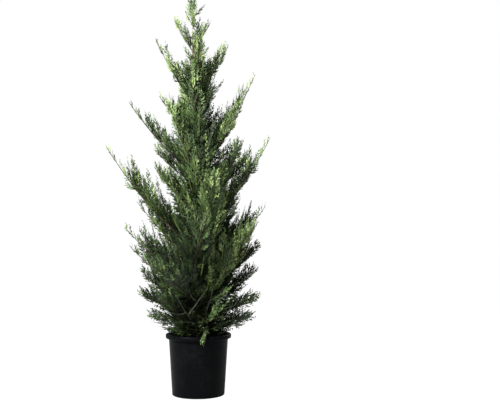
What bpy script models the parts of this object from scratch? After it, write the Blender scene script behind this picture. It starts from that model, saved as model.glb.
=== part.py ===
"""A young Leyland cypress in a 20 litre nursery pot, about 2.1 m tall with its pot.

The stem rises from the compost to the leader. Boughs leave it all round, flat at first and then
upswept, and each carries one mass of foliage: a stem that goes on from the bough, side twigs,
and toothed sprays of scale leaves fused to them. Every mass keeps to the space that lies nearer
to its own limb than to any other.

Metres, +Z up, the origin under the middle of the pot. Bearings are in degrees, counter-clockwise
seen from above, with 0 at +X, so 270 is the front.
"""

import math
import random

import bmesh
import bpy
import numpy as np
from mathutils import Vector
from mathutils.bvhtree import BVHTree

# Pot: a round tapered container with a turned-over rim.
POT_HEIGHT = 0.313
POT_BASE_RADIUS = 0.1355
POT_SHOULDER_RADIUS = 0.1535
POT_RIM_RADIUS = 0.170
POT_WALL = 0.0028
POT_FLOOR = 0.0035
RIM_DROP = 0.024
RIM_ROUND = 0.005
BASE_ROUND = 0.004
POT_SEGMENTS = 28
DRAIN_HOLES = 8
DRAIN_RADIUS = 0.008
DRAIN_INSET = 0.020

# Compost: fills the pot to a little below the rim.
COMPOST_LEVEL = 0.283
COMPOST_MOUND = 0.008
COMPOST_SEGMENTS = 28

# Clearance that separate pieces keep from each other.
GAP = 0.0003

# Stem of the tree, from its flat cut on the compost to the foot of the leader.
STEM_TOP = 1.90
STEM_FOOT_RADIUS = 0.0160
STEM_TOP_RADIUS = 0.0032
FLARE_RADIUS = 0.009
FLARE_HEIGHT = 0.035
FLARE_LOBES = 4
STEM_SIDES = 8
STEM_RINGS = 13
LEAN = 0.034
LEAN_FROM = 1.22
LEAN_TO = 1.85
WAVER = 0.007
WAVER_LENGTH = 0.85

# Crown: its reach from the stem by height, and its ends.
CROWN_FOOT = 0.33
CROWN_WIDEST_AT = 0.78
CROWN_REACH = 0.33
CROWN_TOP = 2.095
CROWN_TAPER = 0.75

# Limbs that make the outline, seen from the front: height on the stem, bearing, reach and
# height of the tip, and how far the tip's bearing has swung from the foot's.
OUTLINE_LIMBS = (
    (0.335, 6, 0.285, 0.395, 6),
    (0.345, 186, 0.255, 0.405, -8),
    (0.385, 290, 0.225, 0.272, -14),
    (0.395, 358, 0.310, 0.495, -6),
    (0.400, 176, 0.310, 0.520, 6),
    (0.430, 198, 0.310, 0.640, 8),
    (0.450, 334, 0.320, 0.900, 10),
    (0.440, 18, 0.320, 0.640, -8),
    (0.480, 168, 0.365, 0.770, 6),
    (0.530, 10, 0.330, 0.770, -8),
    (0.560, 186, 0.385, 0.865, -6),
    (0.640, 356, 0.355, 0.980, 8),
    (0.670, 162, 0.335, 1.005, 8),
    (0.740, 178, 0.485, 1.290, 4),
    (0.830, 2, 0.390, 1.350, 6),
    (0.930, 192, 0.235, 1.180, -6),
    (0.980, 16, 0.275, 1.250, -8),
    (1.080, 170, 0.235, 1.275, 8),
    (1.130, 184, 0.355, 1.515, 6),
    (1.170, 350, 0.255, 1.520, -6),
    (1.240, 4, 0.335, 1.690, 6),
    (1.300, 198, 0.195, 1.550, -8),
    (1.500, 176, 0.200, 1.860, -6),
    (1.560, 14, 0.190, 1.835, -8),
    (1.790, 190, 0.100, 1.970, -8),
    (1.810, 350, 0.092, 1.945, 8),
)

# The other limbs fill the crown's front and back, by a rule.
FILL_LIMBS = 16
FILL_FOOT = 0.37
FILL_HEAD = 1.62
FILL_ARC = 104
FILL_RISE = 0.42
FILL_RISE_AT_FOOT = 0.13
FILL_TURNS = (0, 10, -10, 20, -20, 30, -30, 40, -40, 50, -50)
LIMB_PASSING = 0.006
GOLDEN_SHARE = 0.618034

# Shape of a limb: how low its middle runs, and its girth for its length.
LIMB_SAG = 0.36
LIMB_BELLY = 0.56
DROOPING_RISE = 0.055
LIMB_GIRTH = 0.0125
LONGEST_FOR_GIRTH = 0.6
THINNEST_LIMB = 0.0028
LIMB_TO_STEM = 0.6
LIMB_TIP_RADIUS = 0.0012
BOUGH_SHARE = 0.17
BOUGH_SIDES = 5
BOUGH_RINGS = 3
SHORTEST_WITH_BOUGH = 0.485

# Foliage on a limb.
STEM_RINGS_IN_MASS = 3
SHOOT_SPACING = 0.064
SHOOT_LEANS = (34, 27, 20)
PLUME = 0.150
PLUME_ABOVE = 0.078
PLUME_FROM = 0.80
PLUME_TO = 1.20
PLUME_AT_TIP = 0.40
SHOOT_ROLLS = (80, -76, 22, -112, 108, -34, 60, -66)
TWIG_RADIUS = 0.0022
TWIG_LIFT = 0.18
SHORTEST_TWIG = 0.138
FITTING_SIZES = (1, 0.8, 0.64, 0.5)
FROND_WIDTH = 0.50
FROND_FULL_AT = 0.80
NOTCH_DEPTH = 0.50
FROND_THICKNESS = 0.022
FROND_NOD = 0.06
FROND_TWIST = 20
FROND_TURNS = (0, 35, -35, 70)
SHORTEST_FROND = 0.05
LONGEST_FROND = 0.23
ROOT_ROOM = 0.013
PAST_TIP = 0.012
LOW_HEADROOM = 0.12
LEADER_SPREAD = 0.10
END_FROND = 0.13
END_SUNK = 0.008
END_FROND_SLIM = 0.75
CORE_RADIUS = 0.030
CORE_SIDES = 5
DENSE_BELOW = 1.35
SPACE_MARGIN = 0.0016
LIMB_MARGIN = 0.0025
RIM_CLEARANCE = 0.016
SOIL_CLEARANCE = 0.006
LOWEST_FOLIAGE = 0.16

UP = Vector((0, 0, 1))


# ---------------------------------------------------------------- scene and materials


def clear_scene():
    for obj in list(bpy.data.objects):
        bpy.data.objects.remove(obj)


def material(name, colour, roughness, metallic=0.0):
    made = bpy.data.materials.new(name)
    made.use_nodes = True
    shader = made.node_tree.nodes["Principled BSDF"]
    shader.inputs["Base Color"].default_value = (*colour, 1)
    shader.inputs["Roughness"].default_value = roughness
    shader.inputs["Metallic"].default_value = metallic
    return made


def add_object(name, bm, finish, smooth_below=None):
    """Makes the bmesh an object of the scene, and frees the bmesh."""
    bm.normal_update()
    bmesh.ops.recalc_face_normals(bm, faces=bm.faces)
    mesh = bpy.data.meshes.new(name)
    bm.to_mesh(mesh)
    bm.free()
    mesh.materials.append(finish)
    if smooth_below is not None:
        mesh.shade_smooth()
        mesh.set_sharp_from_angle(angle=math.radians(smooth_below))
    obj = bpy.data.objects.new(name, mesh)
    bpy.context.scene.collection.objects.link(obj)
    return obj


def apply_boolean(obj, operation, cutter=None, collection=None):
    """Joins or cuts obj by one object or by a whole collection, and removes those helpers."""
    step = obj.modifiers.new(operation.lower(), "BOOLEAN")
    step.operation = operation
    step.solver = "EXACT"
    helpers = [cutter] if cutter else list(collection.objects)
    if cutter:
        step.object = cutter
    else:
        step.operand_type = "COLLECTION"
        step.collection = collection
    graph = bpy.context.evaluated_depsgraph_get()
    joined = bpy.data.meshes.new_from_object(obj.evaluated_get(graph))
    obj.modifiers.clear()
    obj.data = joined
    for helper in helpers:
        bpy.data.objects.remove(helper)
    if collection:
        bpy.data.collections.remove(collection)


def keep_main_body(obj):
    """Drops loose scraps and sealed hollows: only the body with most faces stays."""
    bm = bmesh.new()
    bm.from_mesh(obj.data)
    bm.faces.ensure_lookup_table()
    unseen = set(bm.faces)
    bodies = []
    while unseen:
        front = [unseen.pop()]
        body = []
        while front:
            face = front.pop()
            body.append(face)
            near = {other for edge in face.edges for other in edge.link_faces} & unseen
            unseen -= near
            front += near
        bodies.append(body)
    for body in sorted(bodies, key=len)[:-1]:
        bmesh.ops.delete(bm, geom=body, context="FACES")
    loose = [vert for vert in bm.verts if not vert.link_faces]
    bmesh.ops.delete(bm, geom=loose, context="VERTS")
    bm.to_mesh(obj.data)
    bm.free()


# ---------------------------------------------------------------- turned pieces


def turned(profile, segments):
    """A bmesh turned about Z from (radius, height) points, both of whose ends lie on the axis."""
    bm = bmesh.new()
    points = [bm.verts.new((radius, 0, height)) for radius, height in profile]
    edges = [bm.edges.new(pair) for pair in zip(points, points[1:])]
    bmesh.ops.spin(
        bm,
        geom=points + edges,
        axis=UP,
        cent=(0, 0, 0),
        angle=2 * math.pi,
        steps=segments,
        use_duplicate=False,
    )
    bmesh.ops.remove_doubles(bm, verts=bm.verts, dist=1e-5)
    return bm


def pot_radius(height):
    """Radius of the outside of the pot's wall at a height."""
    share = height / (POT_HEIGHT - RIM_DROP)
    return POT_BASE_RADIUS + (POT_SHOULDER_RADIUS - POT_BASE_RADIUS) * min(share, 1)


def make_pot(plastic):
    """One moulded wall with a turned-over rim, and drain holes round its flat floor."""
    rim_inside = POT_RIM_RADIUS - POT_WALL
    wall_top = POT_HEIGHT - RIM_ROUND
    lip_foot = POT_HEIGHT - RIM_DROP
    profile = (
        (0, 0),
        (POT_BASE_RADIUS - BASE_ROUND, 0),
        (POT_BASE_RADIUS, BASE_ROUND),
        (pot_radius(lip_foot), lip_foot),
        (pot_radius(lip_foot), POT_HEIGHT - POT_WALL - RIM_ROUND),
        (pot_radius(lip_foot) + RIM_ROUND, POT_HEIGHT - POT_WALL),
        (rim_inside - RIM_ROUND, POT_HEIGHT - POT_WALL),
        (rim_inside, POT_HEIGHT - POT_WALL - RIM_ROUND),
        (rim_inside, lip_foot),
        (POT_RIM_RADIUS, lip_foot),
        (POT_RIM_RADIUS, wall_top),
        (POT_RIM_RADIUS - RIM_ROUND, POT_HEIGHT),
        (pot_radius(lip_foot), POT_HEIGHT),
        (pot_radius(lip_foot) - POT_WALL, wall_top),
        (pot_radius(lip_foot) - POT_WALL, lip_foot),
        (pot_radius(POT_FLOOR) - POT_WALL, POT_FLOOR),
        (0, POT_FLOOR),
    )
    pot = add_object("pot", turned(profile, POT_SEGMENTS), plastic, 35)
    holes = bmesh.new()
    for number in range(DRAIN_HOLES):
        turn = 2 * math.pi * (number + 0.5) / DRAIN_HOLES
        ring = POT_BASE_RADIUS - DRAIN_INSET
        drill = bmesh.ops.create_cone(
            holes,
            cap_ends=True,
            segments=6,
            radius1=DRAIN_RADIUS,
            radius2=DRAIN_RADIUS,
            depth=6 * POT_FLOOR,
        )
        centre = Vector((ring * math.cos(turn), ring * math.sin(turn), 0))
        bmesh.ops.translate(holes, verts=drill["verts"], vec=centre)
    cutter = add_object("drain_hole_drills", holes, plastic)
    apply_boolean(pot, "DIFFERENCE", cutter=cutter)


def compost_height(radius, turn):
    """The compost's top, gently mounded and uneven, and level under the stem."""
    ripple = math.sin(3 * turn + 40 * radius) * math.cos(2 * turn)
    foot = STEM_FOOT_RADIUS + FLARE_RADIUS
    blend = min(1, max(0, (radius - foot) / foot))
    return COMPOST_LEVEL + blend * (0.35 * COMPOST_MOUND * ripple - COMPOST_MOUND * blend)


def make_compost(soil):
    """A plug that fills the pot, turned with flats that stay inside the pot's own."""
    gap = POT_WALL + GAP / math.cos(math.pi / COMPOST_SEGMENTS)
    foot = POT_FLOOR + GAP
    side = COMPOST_LEVEL - 2 * COMPOST_MOUND
    profile = [(0, foot), (pot_radius(foot) - gap, foot), (pot_radius(side) - gap, side)]
    profile += [(share * pot_radius(side), COMPOST_LEVEL) for share in (0.84, 0.60, 0.38, 0.20)]
    profile.append((0, COMPOST_LEVEL))
    bm = turned(profile, COMPOST_SEGMENTS)
    for vert in bm.verts:
        if vert.co.z > side + 1e-4:
            radius = math.hypot(vert.co.x, vert.co.y)
            vert.co.z = compost_height(radius, math.atan2(vert.co.y, vert.co.x))
    add_object("compost", bm, soil, 30)


# ---------------------------------------------------------------- stem


def smooth_step(low, high, value):
    share = min(1, max(0, (value - low) / (high - low)))
    return share * share * (3 - 2 * share)


def stem_centre(height):
    """The stem's middle at a height: upright below, leaning to -X higher up, never quite straight."""
    above = height - COMPOST_LEVEL
    lean = -LEAN * smooth_step(LEAN_FROM, LEAN_TO, height)
    waver = WAVER * math.sin(2 * math.pi * above / WAVER_LENGTH) * smooth_step(0, 0.3, above)
    return Vector((lean, waver, height))


def stem_radius(height):
    """The stem's radius without its root flare."""
    share = (height - COMPOST_LEVEL) / (STEM_TOP - COMPOST_LEVEL)
    return STEM_FOOT_RADIUS + (STEM_TOP_RADIUS - STEM_FOOT_RADIUS) * min(1, max(0, share)) ** 0.8


def stem_bmesh(extra=0.0):
    """The tapering stem; extra fattens it all round, for the tool that cuts limbs clear of it."""
    bm = bmesh.new()
    foot = COMPOST_LEVEL + GAP - extra
    rings = []
    for number in range(STEM_RINGS):
        share = number / (STEM_RINGS - 1)
        height = foot + (STEM_TOP + extra - foot) * share**1.35
        flare = FLARE_RADIUS * math.exp(-(height - foot) / FLARE_HEIGHT)
        centre = stem_centre(height)
        ring = []
        for side in range(STEM_SIDES):
            turn = 2 * math.pi * side / STEM_SIDES
            lobe = 0.65 + 0.35 * math.cos(FLARE_LOBES * turn)
            radius = stem_radius(height) + flare * lobe + extra
            ring.append(bm.verts.new(centre + radius * Vector((math.cos(turn), math.sin(turn), 0))))
        rings.append(ring)
    skin_rings(bm, rings)
    return bm


def skin_rings(bm, rings):
    """Faces between rings of equal count, with both ends capped."""
    for low, high in zip(rings, rings[1:]):
        for side in range(len(low)):
            after = (side + 1) % len(low)
            bm.faces.new((low[side], low[after], high[after], high[side]))
    bm.faces.new(rings[0])
    bm.faces.new(rings[-1])


# ---------------------------------------------------------------- limbs


def crown_reach(height):
    """How far the crown's body reaches from the stem at a height."""
    if height < CROWN_WIDEST_AT:
        below = (CROWN_WIDEST_AT - height) / (CROWN_WIDEST_AT - CROWN_FOOT)
        return CROWN_REACH * math.sqrt(max(0.12, 1 - below * below))
    above = (height - CROWN_WIDEST_AT) / (CROWN_TOP - CROWN_WIDEST_AT)
    return CROWN_REACH * max(0.03, 1 - above) ** CROWN_TAPER


class Limb:
    """A curve from the stem's middle to the tip of a limb, with a bough first and foliage after."""

    def __init__(self, number, foot, bearing, reach, tip_height, swing):
        self.number = number
        base = stem_centre(foot)
        tip_turn = math.radians(bearing + swing)
        belly_turn = math.radians(bearing - swing)
        outward = Vector((math.cos(tip_turn), math.sin(tip_turn), 0))
        side = Vector((math.cos(belly_turn), math.sin(belly_turn), 0))
        tip_centre = stem_centre(tip_height)
        rise = tip_height - foot
        low = foot + (LIMB_SAG * rise if rise > 0 else DROOPING_RISE)
        belly = Vector((base.x, base.y, low)) + side * (LIMB_BELLY * reach)
        tip = Vector((tip_centre.x, tip_centre.y, tip_height)) + outward * reach
        self.curve = (base, belly, tip)
        legs = (belly - base).length + (tip - belly).length
        self.length = (legs + 2 * (tip - base).length) / 3
        self.has_bough = self.length > SHORTEST_WITH_BOUGH
        girth = LIMB_GIRTH * min(self.length, LONGEST_FOR_GIRTH)
        self.radius = max(THINNEST_LIMB, min(girth, LIMB_TO_STEM * stem_radius(foot)))
        bare = stem_radius(foot) / self.length
        self.foliage_from = BOUGH_SHARE if self.has_bough else bare
        narrowing = smooth_step(PLUME_FROM, PLUME_TO, 0.5 * (foot + tip_height))
        self.plume = PLUME + (PLUME_ABOVE - PLUME) * narrowing
        self.farthest = reach + PAST_TIP
        self.highest = tip_height + PAST_TIP + LOW_HEADROOM * (1 - smooth_step(0.15, 0.35, rise))
        self.rng = random.Random(100 + number)
        self.spine = np.array([self.at(step / 40) for step in range(2, 41)])

    def at(self, share):
        base, belly, tip = self.curve
        return base * (1 - share) ** 2 + belly * (2 * share * (1 - share)) + tip * share**2

    def along(self, share):
        base, belly, tip = self.curve
        return ((belly - base) * (1 - share) + (tip - belly) * share).normalized()

    def girth_at(self, share):
        return self.radius + (LIMB_TIP_RADIUS - self.radius) * share**0.8


class Leader(Limb):
    """The top of the stem: foliage that goes straight on from the stem's end."""

    def __init__(self, number):
        super().__init__(number, STEM_TOP, 0, 0.012, CROWN_TOP, 0)
        base = stem_centre(STEM_TOP) + UP * GAP
        tip = Vector((base.x + 0.012, base.y, CROWN_TOP))
        self.curve = (base, (base + tip) / 2 - Vector((0.004, 0, 0)), tip)
        self.length = (tip - base).length
        self.radius = STEM_TOP_RADIUS - GAP
        self.foliage_from = 0
        self.has_bough = False
        self.farthest = LEADER_SPREAD
        self.highest = CROWN_TOP
        self.spine = np.array([self.at(step / 20) for step in range(21)])


def fill_limb(number, order, turn):
    """One of the limbs of the crown's front and back, from its order up the stem."""
    share = (order + 0.5) / FILL_LIMBS
    foot = FILL_FOOT + (FILL_HEAD - FILL_FOOT) * share**1.4
    facing = 90 if order % 2 else 270
    spread = (order * GOLDEN_SHARE) % 1 - 0.5
    bearing = facing + FILL_ARC * spread + turn
    climb = min(1, (foot - FILL_FOOT) / 0.3)
    rise = FILL_RISE_AT_FOOT + (FILL_RISE - FILL_RISE_AT_FOOT) * climb
    tip_height = min(foot + rise, foot + 0.80 * (CROWN_TOP - foot))
    vigour = 1.0 + 0.30 * ((order * GOLDEN_SHARE * 3) % 1)
    swing = 8 * (-1) ** (order // 2)
    return Limb(number, foot, bearing, vigour * crown_reach(tip_height), tip_height, swing)


def clears(limb, others):
    """Whether a limb runs past the others without coming near their wood."""
    for other in others:
        away = distance_to(limb.spine, other.spine)
        past_stem = np.hypot(limb.spine[:, 0] - limb.spine[0, 0], limb.spine[:, 1]) > 0.012
        if away[past_stem].min() < limb.radius + other.radius + LIMB_PASSING:
            return False
    return True


def all_limbs():
    """The outline's limbs, the fill limbs, each turned until it clears the rest, and the leader."""
    limbs = [Limb(number + 1, *row) for number, row in enumerate(OUTLINE_LIMBS)]
    for order in range(FILL_LIMBS):
        for turn in FILL_TURNS:
            limb = fill_limb(len(limbs) + 1, order, turn)
            if clears(limb, limbs):
                break
        limbs.append(limb)
    limbs.append(Leader(len(limbs) + 1))
    return limbs


# ---------------------------------------------------------------- tubes and sprays


def tube_bmesh(centres, radii, sides, pointed=False, axes=None):
    """A tapering tube through points, with flat ends, or with its last point as its tip."""
    bm = bmesh.new()
    rings = []
    across = None
    last = len(centres) - 1
    for number, centre in enumerate(centres):
        ahead = centres[min(number + 1, last)] - centres[max(number - 1, 0)]
        ahead = axes[number] if axes else ahead.normalized()
        if across is None:
            across = ahead.orthogonal().normalized()
        across = (across - ahead * across.dot(ahead)).normalized()
        other = ahead.cross(across)
        if pointed and number == last:
            break
        turns = [2 * math.pi * side / sides for side in range(sides)]
        ring = [
            bm.verts.new(centre + radii[number] * (across * math.cos(t) + other * math.sin(t)))
            for t in turns
        ]
        rings.append(ring)
    skin_rings(bm, rings)
    if pointed:
        end_face = next(face for face in bm.faces if set(face.verts) == set(rings[-1]))
        tip = bmesh.ops.poke(bm, faces=[end_face])["verts"][0]
        tip.co = centres[-1]
    return bm


# A frond's stalk as a share of its length, and the rise of its midrib along it.
FROND_STALK = 0.15
RIB = ((0, 0.8), (FROND_STALK, 0.9), (0.56, 0.8))


def turn_about(vector, axis, turn):
    return vector * math.cos(turn) + axis.cross(vector) * math.sin(turn)


def frond_width(share):
    """Half the width of a frond at a share of its length, of its widest."""
    return math.sin(math.pi * share**FROND_FULL_AT) ** 0.9


class Frond:
    """A flat spray of scale leaves, lobed like a feather and thickest along its midrib."""

    def __init__(self, root, direction, toward, length, slim=1.0):
        self.root = root
        self.direction = direction
        self.side = (toward - direction * direction.dot(toward)).normalized()
        self.normal = self.direction.cross(self.side)
        self.length = length
        self.half = 0.5 * FROND_WIDTH * slim * length
        self.lobes = 3 if length < 0.115 else 4
        self.thick = max(0.5 * FROND_THICKNESS * length, 0.0011)

    def point(self, along, across, rise=0.0):
        """A point of the frond, which nods up or down a little toward its tip."""
        nod = UP * (FROND_NOD * self.length * along * along)
        ahead = self.direction * (self.length * along)
        return self.root + ahead + nod + self.side * (self.half * across) + self.normal * rise

    def edge(self, hand):
        """One side's outline from the foot to the last lobe, in shares of length and width."""
        pitch = 0.74 / self.lobes
        start = 0.17 + (0.46 * pitch if hand > 0 else 0)
        found = [(0, 0.06 * hand), (FROND_STALK, 0.10 * hand)]
        for lobe in range(self.lobes):
            if lobe:
                notch = start + pitch * (lobe - 0.12)
                found.append((notch, hand * NOTCH_DEPTH * frond_width(notch)))
            tip = min(start + pitch * (lobe + 0.62), 0.93)
            found.append((tip, hand * max(frond_width(tip), 0.14)))
        return found

    def test_points(self):
        rim = [self.point(*spot) for hand in (1, -1) for spot in self.edge(hand)[1:]]
        rib = [self.point(share, 0) for share in (0.3, 0.5, 0.7, 0.85, 1)]
        return [p for p in rim + rib if (p - self.root).length > ROOT_ROOM]

    def bmesh(self):
        """The frond as a stalk of four sides that opens into two fans of faces on each hand."""
        bm = bmesh.new()
        apex = bm.verts.new(self.point(1, 0))
        upper, lower = (
            [bm.verts.new(self.point(share, 0, face * rise * self.thick)) for share, rise in RIB]
            for face in (1, -1)
        )
        for hand in (1, -1):
            spots = self.edge(hand)
            rim = [bm.verts.new(self.point(*spot)) for spot in spots] + [apex]
            shares = [spot[0] for spot in spots] + [1]
            for rib in (upper, lower):
                bm.faces.new((rib[0], rib[1], rim[1], rim[0]))
                at = 1
                for number in range(1, len(rim) - 1):
                    middle = 0.5 * (shares[number] + shares[number + 1])
                    if at == 1 and middle > 0.5 * (RIB[1][0] + RIB[2][0]):
                        bm.faces.new((rib[1], rib[2], rim[number]))
                        at = 2
                    bm.faces.new((rib[at], rim[number], rim[number + 1]))
            bm.faces.new((upper[0], lower[0], rim[0]))
        return bm


# ---------------------------------------------------------------- room


def distance_to(points, spine):
    """The distance of each point to the nearest stretch of a spine."""
    starts, steps = spine[:-1], np.diff(spine, axis=0)
    offset = points[:, None, :] - starts[None]
    share = (offset * steps).sum(2) / (steps * steps).sum(1)
    near = starts + np.clip(share, 0, 1)[..., None] * steps
    return np.linalg.norm(points[:, None, :] - near, axis=2).min(1)


class Room:
    """What a twig, spray or core of one limb has to stay clear of."""

    def __init__(self, limbs):
        self.limbs = limbs
        heights = np.linspace(COMPOST_LEVEL, STEM_TOP, 80)
        self.stem = np.array([stem_centre(height) for height in heights])
        self.stem_radii = np.array([stem_radius(height) for height in heights])
        self.stem_radii += FLARE_RADIUS * np.exp(-(heights - COMPOST_LEVEL) / FLARE_HEIGHT)

    def clear_of_stem(self, points):
        gaps = np.linalg.norm(points[:, None, :] - self.stem[None], axis=2) - self.stem_radii
        return gaps.min() > LIMB_MARGIN

    def clear_of_pot(self, points):
        reach = np.hypot(points[:, 0], points[:, 1])
        over_pot = reach < POT_RIM_RADIUS + RIM_CLEARANCE
        over_rim = over_pot & (reach > POT_SHOULDER_RADIUS - RIM_CLEARANCE)
        low = np.where(over_pot, COMPOST_LEVEL + SOIL_CLEARANCE, LOWEST_FOLIAGE)
        floor = np.where(over_rim, POT_HEIGHT + RIM_CLEARANCE, low)
        return bool((points[:, 2] > floor).all())

    def clear_of_bough(self, points, limb):
        if not limb.has_bough:
            return True
        last = 2 + int(40 * limb.foliage_from)
        return distance_to(points, limb.spine[:last]).min() > limb.radius + LIMB_MARGIN

    def in_space(self, points, limb):
        own = distance_to(points, limb.spine)
        for other in self.limbs:
            if other is limb:
                continue
            away = distance_to(points, other.spine)
            if (away - own).min() < 2 * SPACE_MARGIN or away.min() < other.radius + LIMB_MARGIN:
                return False
        return True

    def within_reach(self, points, limb):
        """Whether points stay short of the limb's own tip, outward and upward."""
        foot = limb.spine[0]
        out = np.hypot(points[:, 0] - foot[0], points[:, 1] - foot[1])
        return out.max() < limb.farthest and points[:, 2].max() < limb.highest

    def fits(self, points, limb):
        points = np.array(points)
        tests = (
            self.within_reach(points, limb)
            and self.clear_of_stem(points)
            and self.clear_of_pot(points)
            and self.clear_of_bough(points, limb)
        )
        return tests and self.in_space(points, limb)


# ---------------------------------------------------------------- growth


def side_direction(limb, share, roll):
    """Square to the limb, at a roll round it from straight up."""
    ahead = limb.along(share)
    level = ahead.cross(UP).normalized()
    above = level.cross(ahead)
    return above * math.cos(roll) + level * math.sin(roll)


def shoots_of(limb):
    """Side shoots, alternate along a limb and round it: start share, outward side and length."""
    leafy = 1 - limb.foliage_from
    count = max(4, round(leafy * limb.length / SHOOT_SPACING))
    found = []
    for number in range(count):
        share = limb.foliage_from + leafy * (0.05 + 0.80 * number / count)
        roll = SHOOT_ROLLS[number % len(SHOOT_ROLLS)] + limb.rng.uniform(-14, 14)
        left = 1 - (share - limb.foliage_from) / leafy
        reach = limb.plume * (PLUME_AT_TIP + (1 - PLUME_AT_TIP) * left)
        found.append((share, side_direction(limb, share, math.radians(roll)), reach))
    return found


class Foliage:
    """The fronds of one limb so far, which later ones keep from crossing."""

    def __init__(self, limb, room):
        self.limb = limb
        self.room = room
        self.pieces = []
        self.shapes = []

    def add(self, bm):
        self.pieces.append(bm)
        self.shapes.append(BVHTree.FromBMesh(bm))

    def crosses(self, bm):
        shape = BVHTree.FromBMesh(bm)
        return any(shape.overlap(other) for other in self.shapes)

    def grow_frond(self, root, ahead, out, reach):
        """Adds a frond that leans off ahead toward out, and ends at reach from the limb.

        It is laid closer along the limb, turned about or made shorter until it is clear.
        """
        twist = self.limb.rng.uniform(-FROND_TWIST, FROND_TWIST)
        for size in FITTING_SIZES:
            for lean in SHOOT_LEANS:
                angle = math.radians(lean)
                length = min(size * reach / math.sin(angle), LONGEST_FROND)
                if length < SHORTEST_FROND:
                    return
                direction = ahead * math.cos(angle) + out * math.sin(angle)
                for turn in FROND_TURNS:
                    toward = turn_about(ahead, direction, math.radians(twist + turn))
                    frond = Frond(root, direction, toward, length)
                    if not self.room.fits(frond.test_points(), self.limb):
                        continue
                    bm = frond.bmesh()
                    if not self.crosses(bm):
                        self.add(bm)
                        return
                    bm.free()

    def grow_twig(self, share, out, reach):
        """A side twig, bent upward at its knee, with two fronds of its own."""
        start = self.limb.at(share)
        ahead = self.limb.along(share)
        angle = math.radians(SHOOT_LEANS[0])
        direction = ahead * math.cos(angle) + out * math.sin(angle)
        knee = start + direction * (0.40 * reach)
        tip = knee + (direction + UP * TWIG_LIFT).normalized() * (0.25 * reach)
        tested = [start.lerp(knee, 0.5), knee, tip]
        if not self.room.fits([p for p in tested if (p - start).length > ROOT_ROOM], self.limb):
            self.grow_frond(start, ahead, out, reach)
            return
        radii = (TWIG_RADIUS, 0.8 * TWIG_RADIUS, 0)
        self.pieces.append(tube_bmesh((start, knee, tip), radii, 3, pointed=True))
        self.grow_frond(knee, direction, -ahead, 0.40 * reach)
        self.grow_frond(start.lerp(knee, 0.6), direction, ahead, 0.55 * reach)


def core_bmesh(limb, room):
    """A slim faceted core round the leafy stem of a dense mass, kept inside the limb's space."""
    first = limb.foliage_from + 0.10
    shares = [first, first + 0.12, first + 0.28, first + 0.42]
    swell = (0.35, 1.0, 0.85, 0.30)
    for size in (1, 0.75, 0.55):
        radii = [CORE_RADIUS * size * s for s in swell]
        bm = tube_bmesh([limb.at(s) for s in shares], radii, CORE_SIDES)
        if room.fits([vert.co.copy() for vert in bm.verts], limb):
            return bm
        bm.free()
    return None


def make_mass(limb, room, leaf):
    """All the foliage of one limb, joined into one solid."""
    end_length = min(END_FROND, 0.4 * limb.length)
    end_share = 1 - end_length / limb.length
    start = limb.foliage_from if limb.has_bough else 0
    last = end_share + END_SUNK / limb.length
    count = STEM_RINGS_IN_MASS
    shares = [start + (last - start) * n / (count - 1) for n in range(count)]
    axes = [limb.along(s) for s in shares]
    centres = [limb.at(s) for s in shares]
    if limb.has_bough:
        centres[0] += axes[0] * GAP
    radii = [limb.girth_at(s) for s in shares]
    stem = tube_bmesh(centres, radii, 3, pointed=True, axes=axes)
    mass = add_object(f"foliage_{limb.number:02d}", stem, leaf)

    foliage = Foliage(limb, room)
    root, end = limb.at(end_share), limb.at(1)
    aim = (end - root).normalized()
    toward = turn_about(side_direction(limb, 1, 0), aim, 0.5)
    end_frond = Frond(root, aim, toward, (end - root).length, END_FROND_SLIM)
    end_frond.direction = ((end - root) / end_frond.length - UP * FROND_NOD).normalized()
    foliage.add(end_frond.bmesh())
    for share, out, reach in shoots_of(limb):
        if reach > SHORTEST_TWIG:
            foliage.grow_twig(share, out, reach)
        else:
            foliage.grow_frond(limb.at(share), limb.along(share), out, reach)
    if limb.at(0.5).z < DENSE_BELOW and limb.has_bough:
        foliage.pieces.append(core_bmesh(limb, room))
    helpers = bpy.data.collections.new("sprays")
    bpy.context.scene.collection.children.link(helpers)
    for number, bm in enumerate(bm for bm in foliage.pieces if bm):
        piece = add_object(f"piece_{number}", bm, leaf)
        bpy.context.scene.collection.objects.unlink(piece)
        helpers.objects.link(piece)
    apply_boolean(mass, "UNION", collection=helpers)
    return mass


def make_bough(limb, bark):
    """The bare part of a limb, from inside the stem, later cut clear of it, to its foliage."""
    shares = [limb.foliage_from * n / (BOUGH_RINGS - 1) for n in range(BOUGH_RINGS)]
    centres = [limb.at(s) for s in shares]
    radii = [limb.girth_at(s) for s in shares]
    tube = tube_bmesh(centres, radii, BOUGH_SIDES, axes=[limb.along(s) for s in shares])
    return add_object(f"bough_{limb.number:02d}", tube, bark, 50)


def cut_clear_of_stem(obj, bark):
    """Cuts an object back to GAP outside the stem."""
    apply_boolean(obj, "DIFFERENCE", cutter=add_object("stem_clearance", stem_bmesh(GAP), bark))


# ---------------------------------------------------------------- the whole plant


def main():
    clear_scene()
    plastic = material("pot_plastic", (0.012, 0.013, 0.014), 0.42)
    soil = material("compost", (0.030, 0.020, 0.013), 0.95)
    bark = material("bark", (0.16, 0.085, 0.050), 0.85)
    leaf = material("scale_leaf", (0.055, 0.130, 0.030), 0.60)

    make_pot(plastic)
    make_compost(soil)
    add_object("stem", stem_bmesh(), bark, 40)

    limbs = all_limbs()
    room = Room(limbs)
    for limb in limbs:
        mass = make_mass(limb, room, leaf)
        if limb.has_bough:
            cut_clear_of_stem(make_bough(limb, bark), bark)
        elif not isinstance(limb, Leader):
            cut_clear_of_stem(mass, bark)
        keep_main_body(mass)


main()
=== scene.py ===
# A young Leyland cypress in a round nursery pot, about 2.1 m tall with its pot.
# Metres, +Z up, the origin under the middle of the pot; the front faces -Y.
import math

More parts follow.
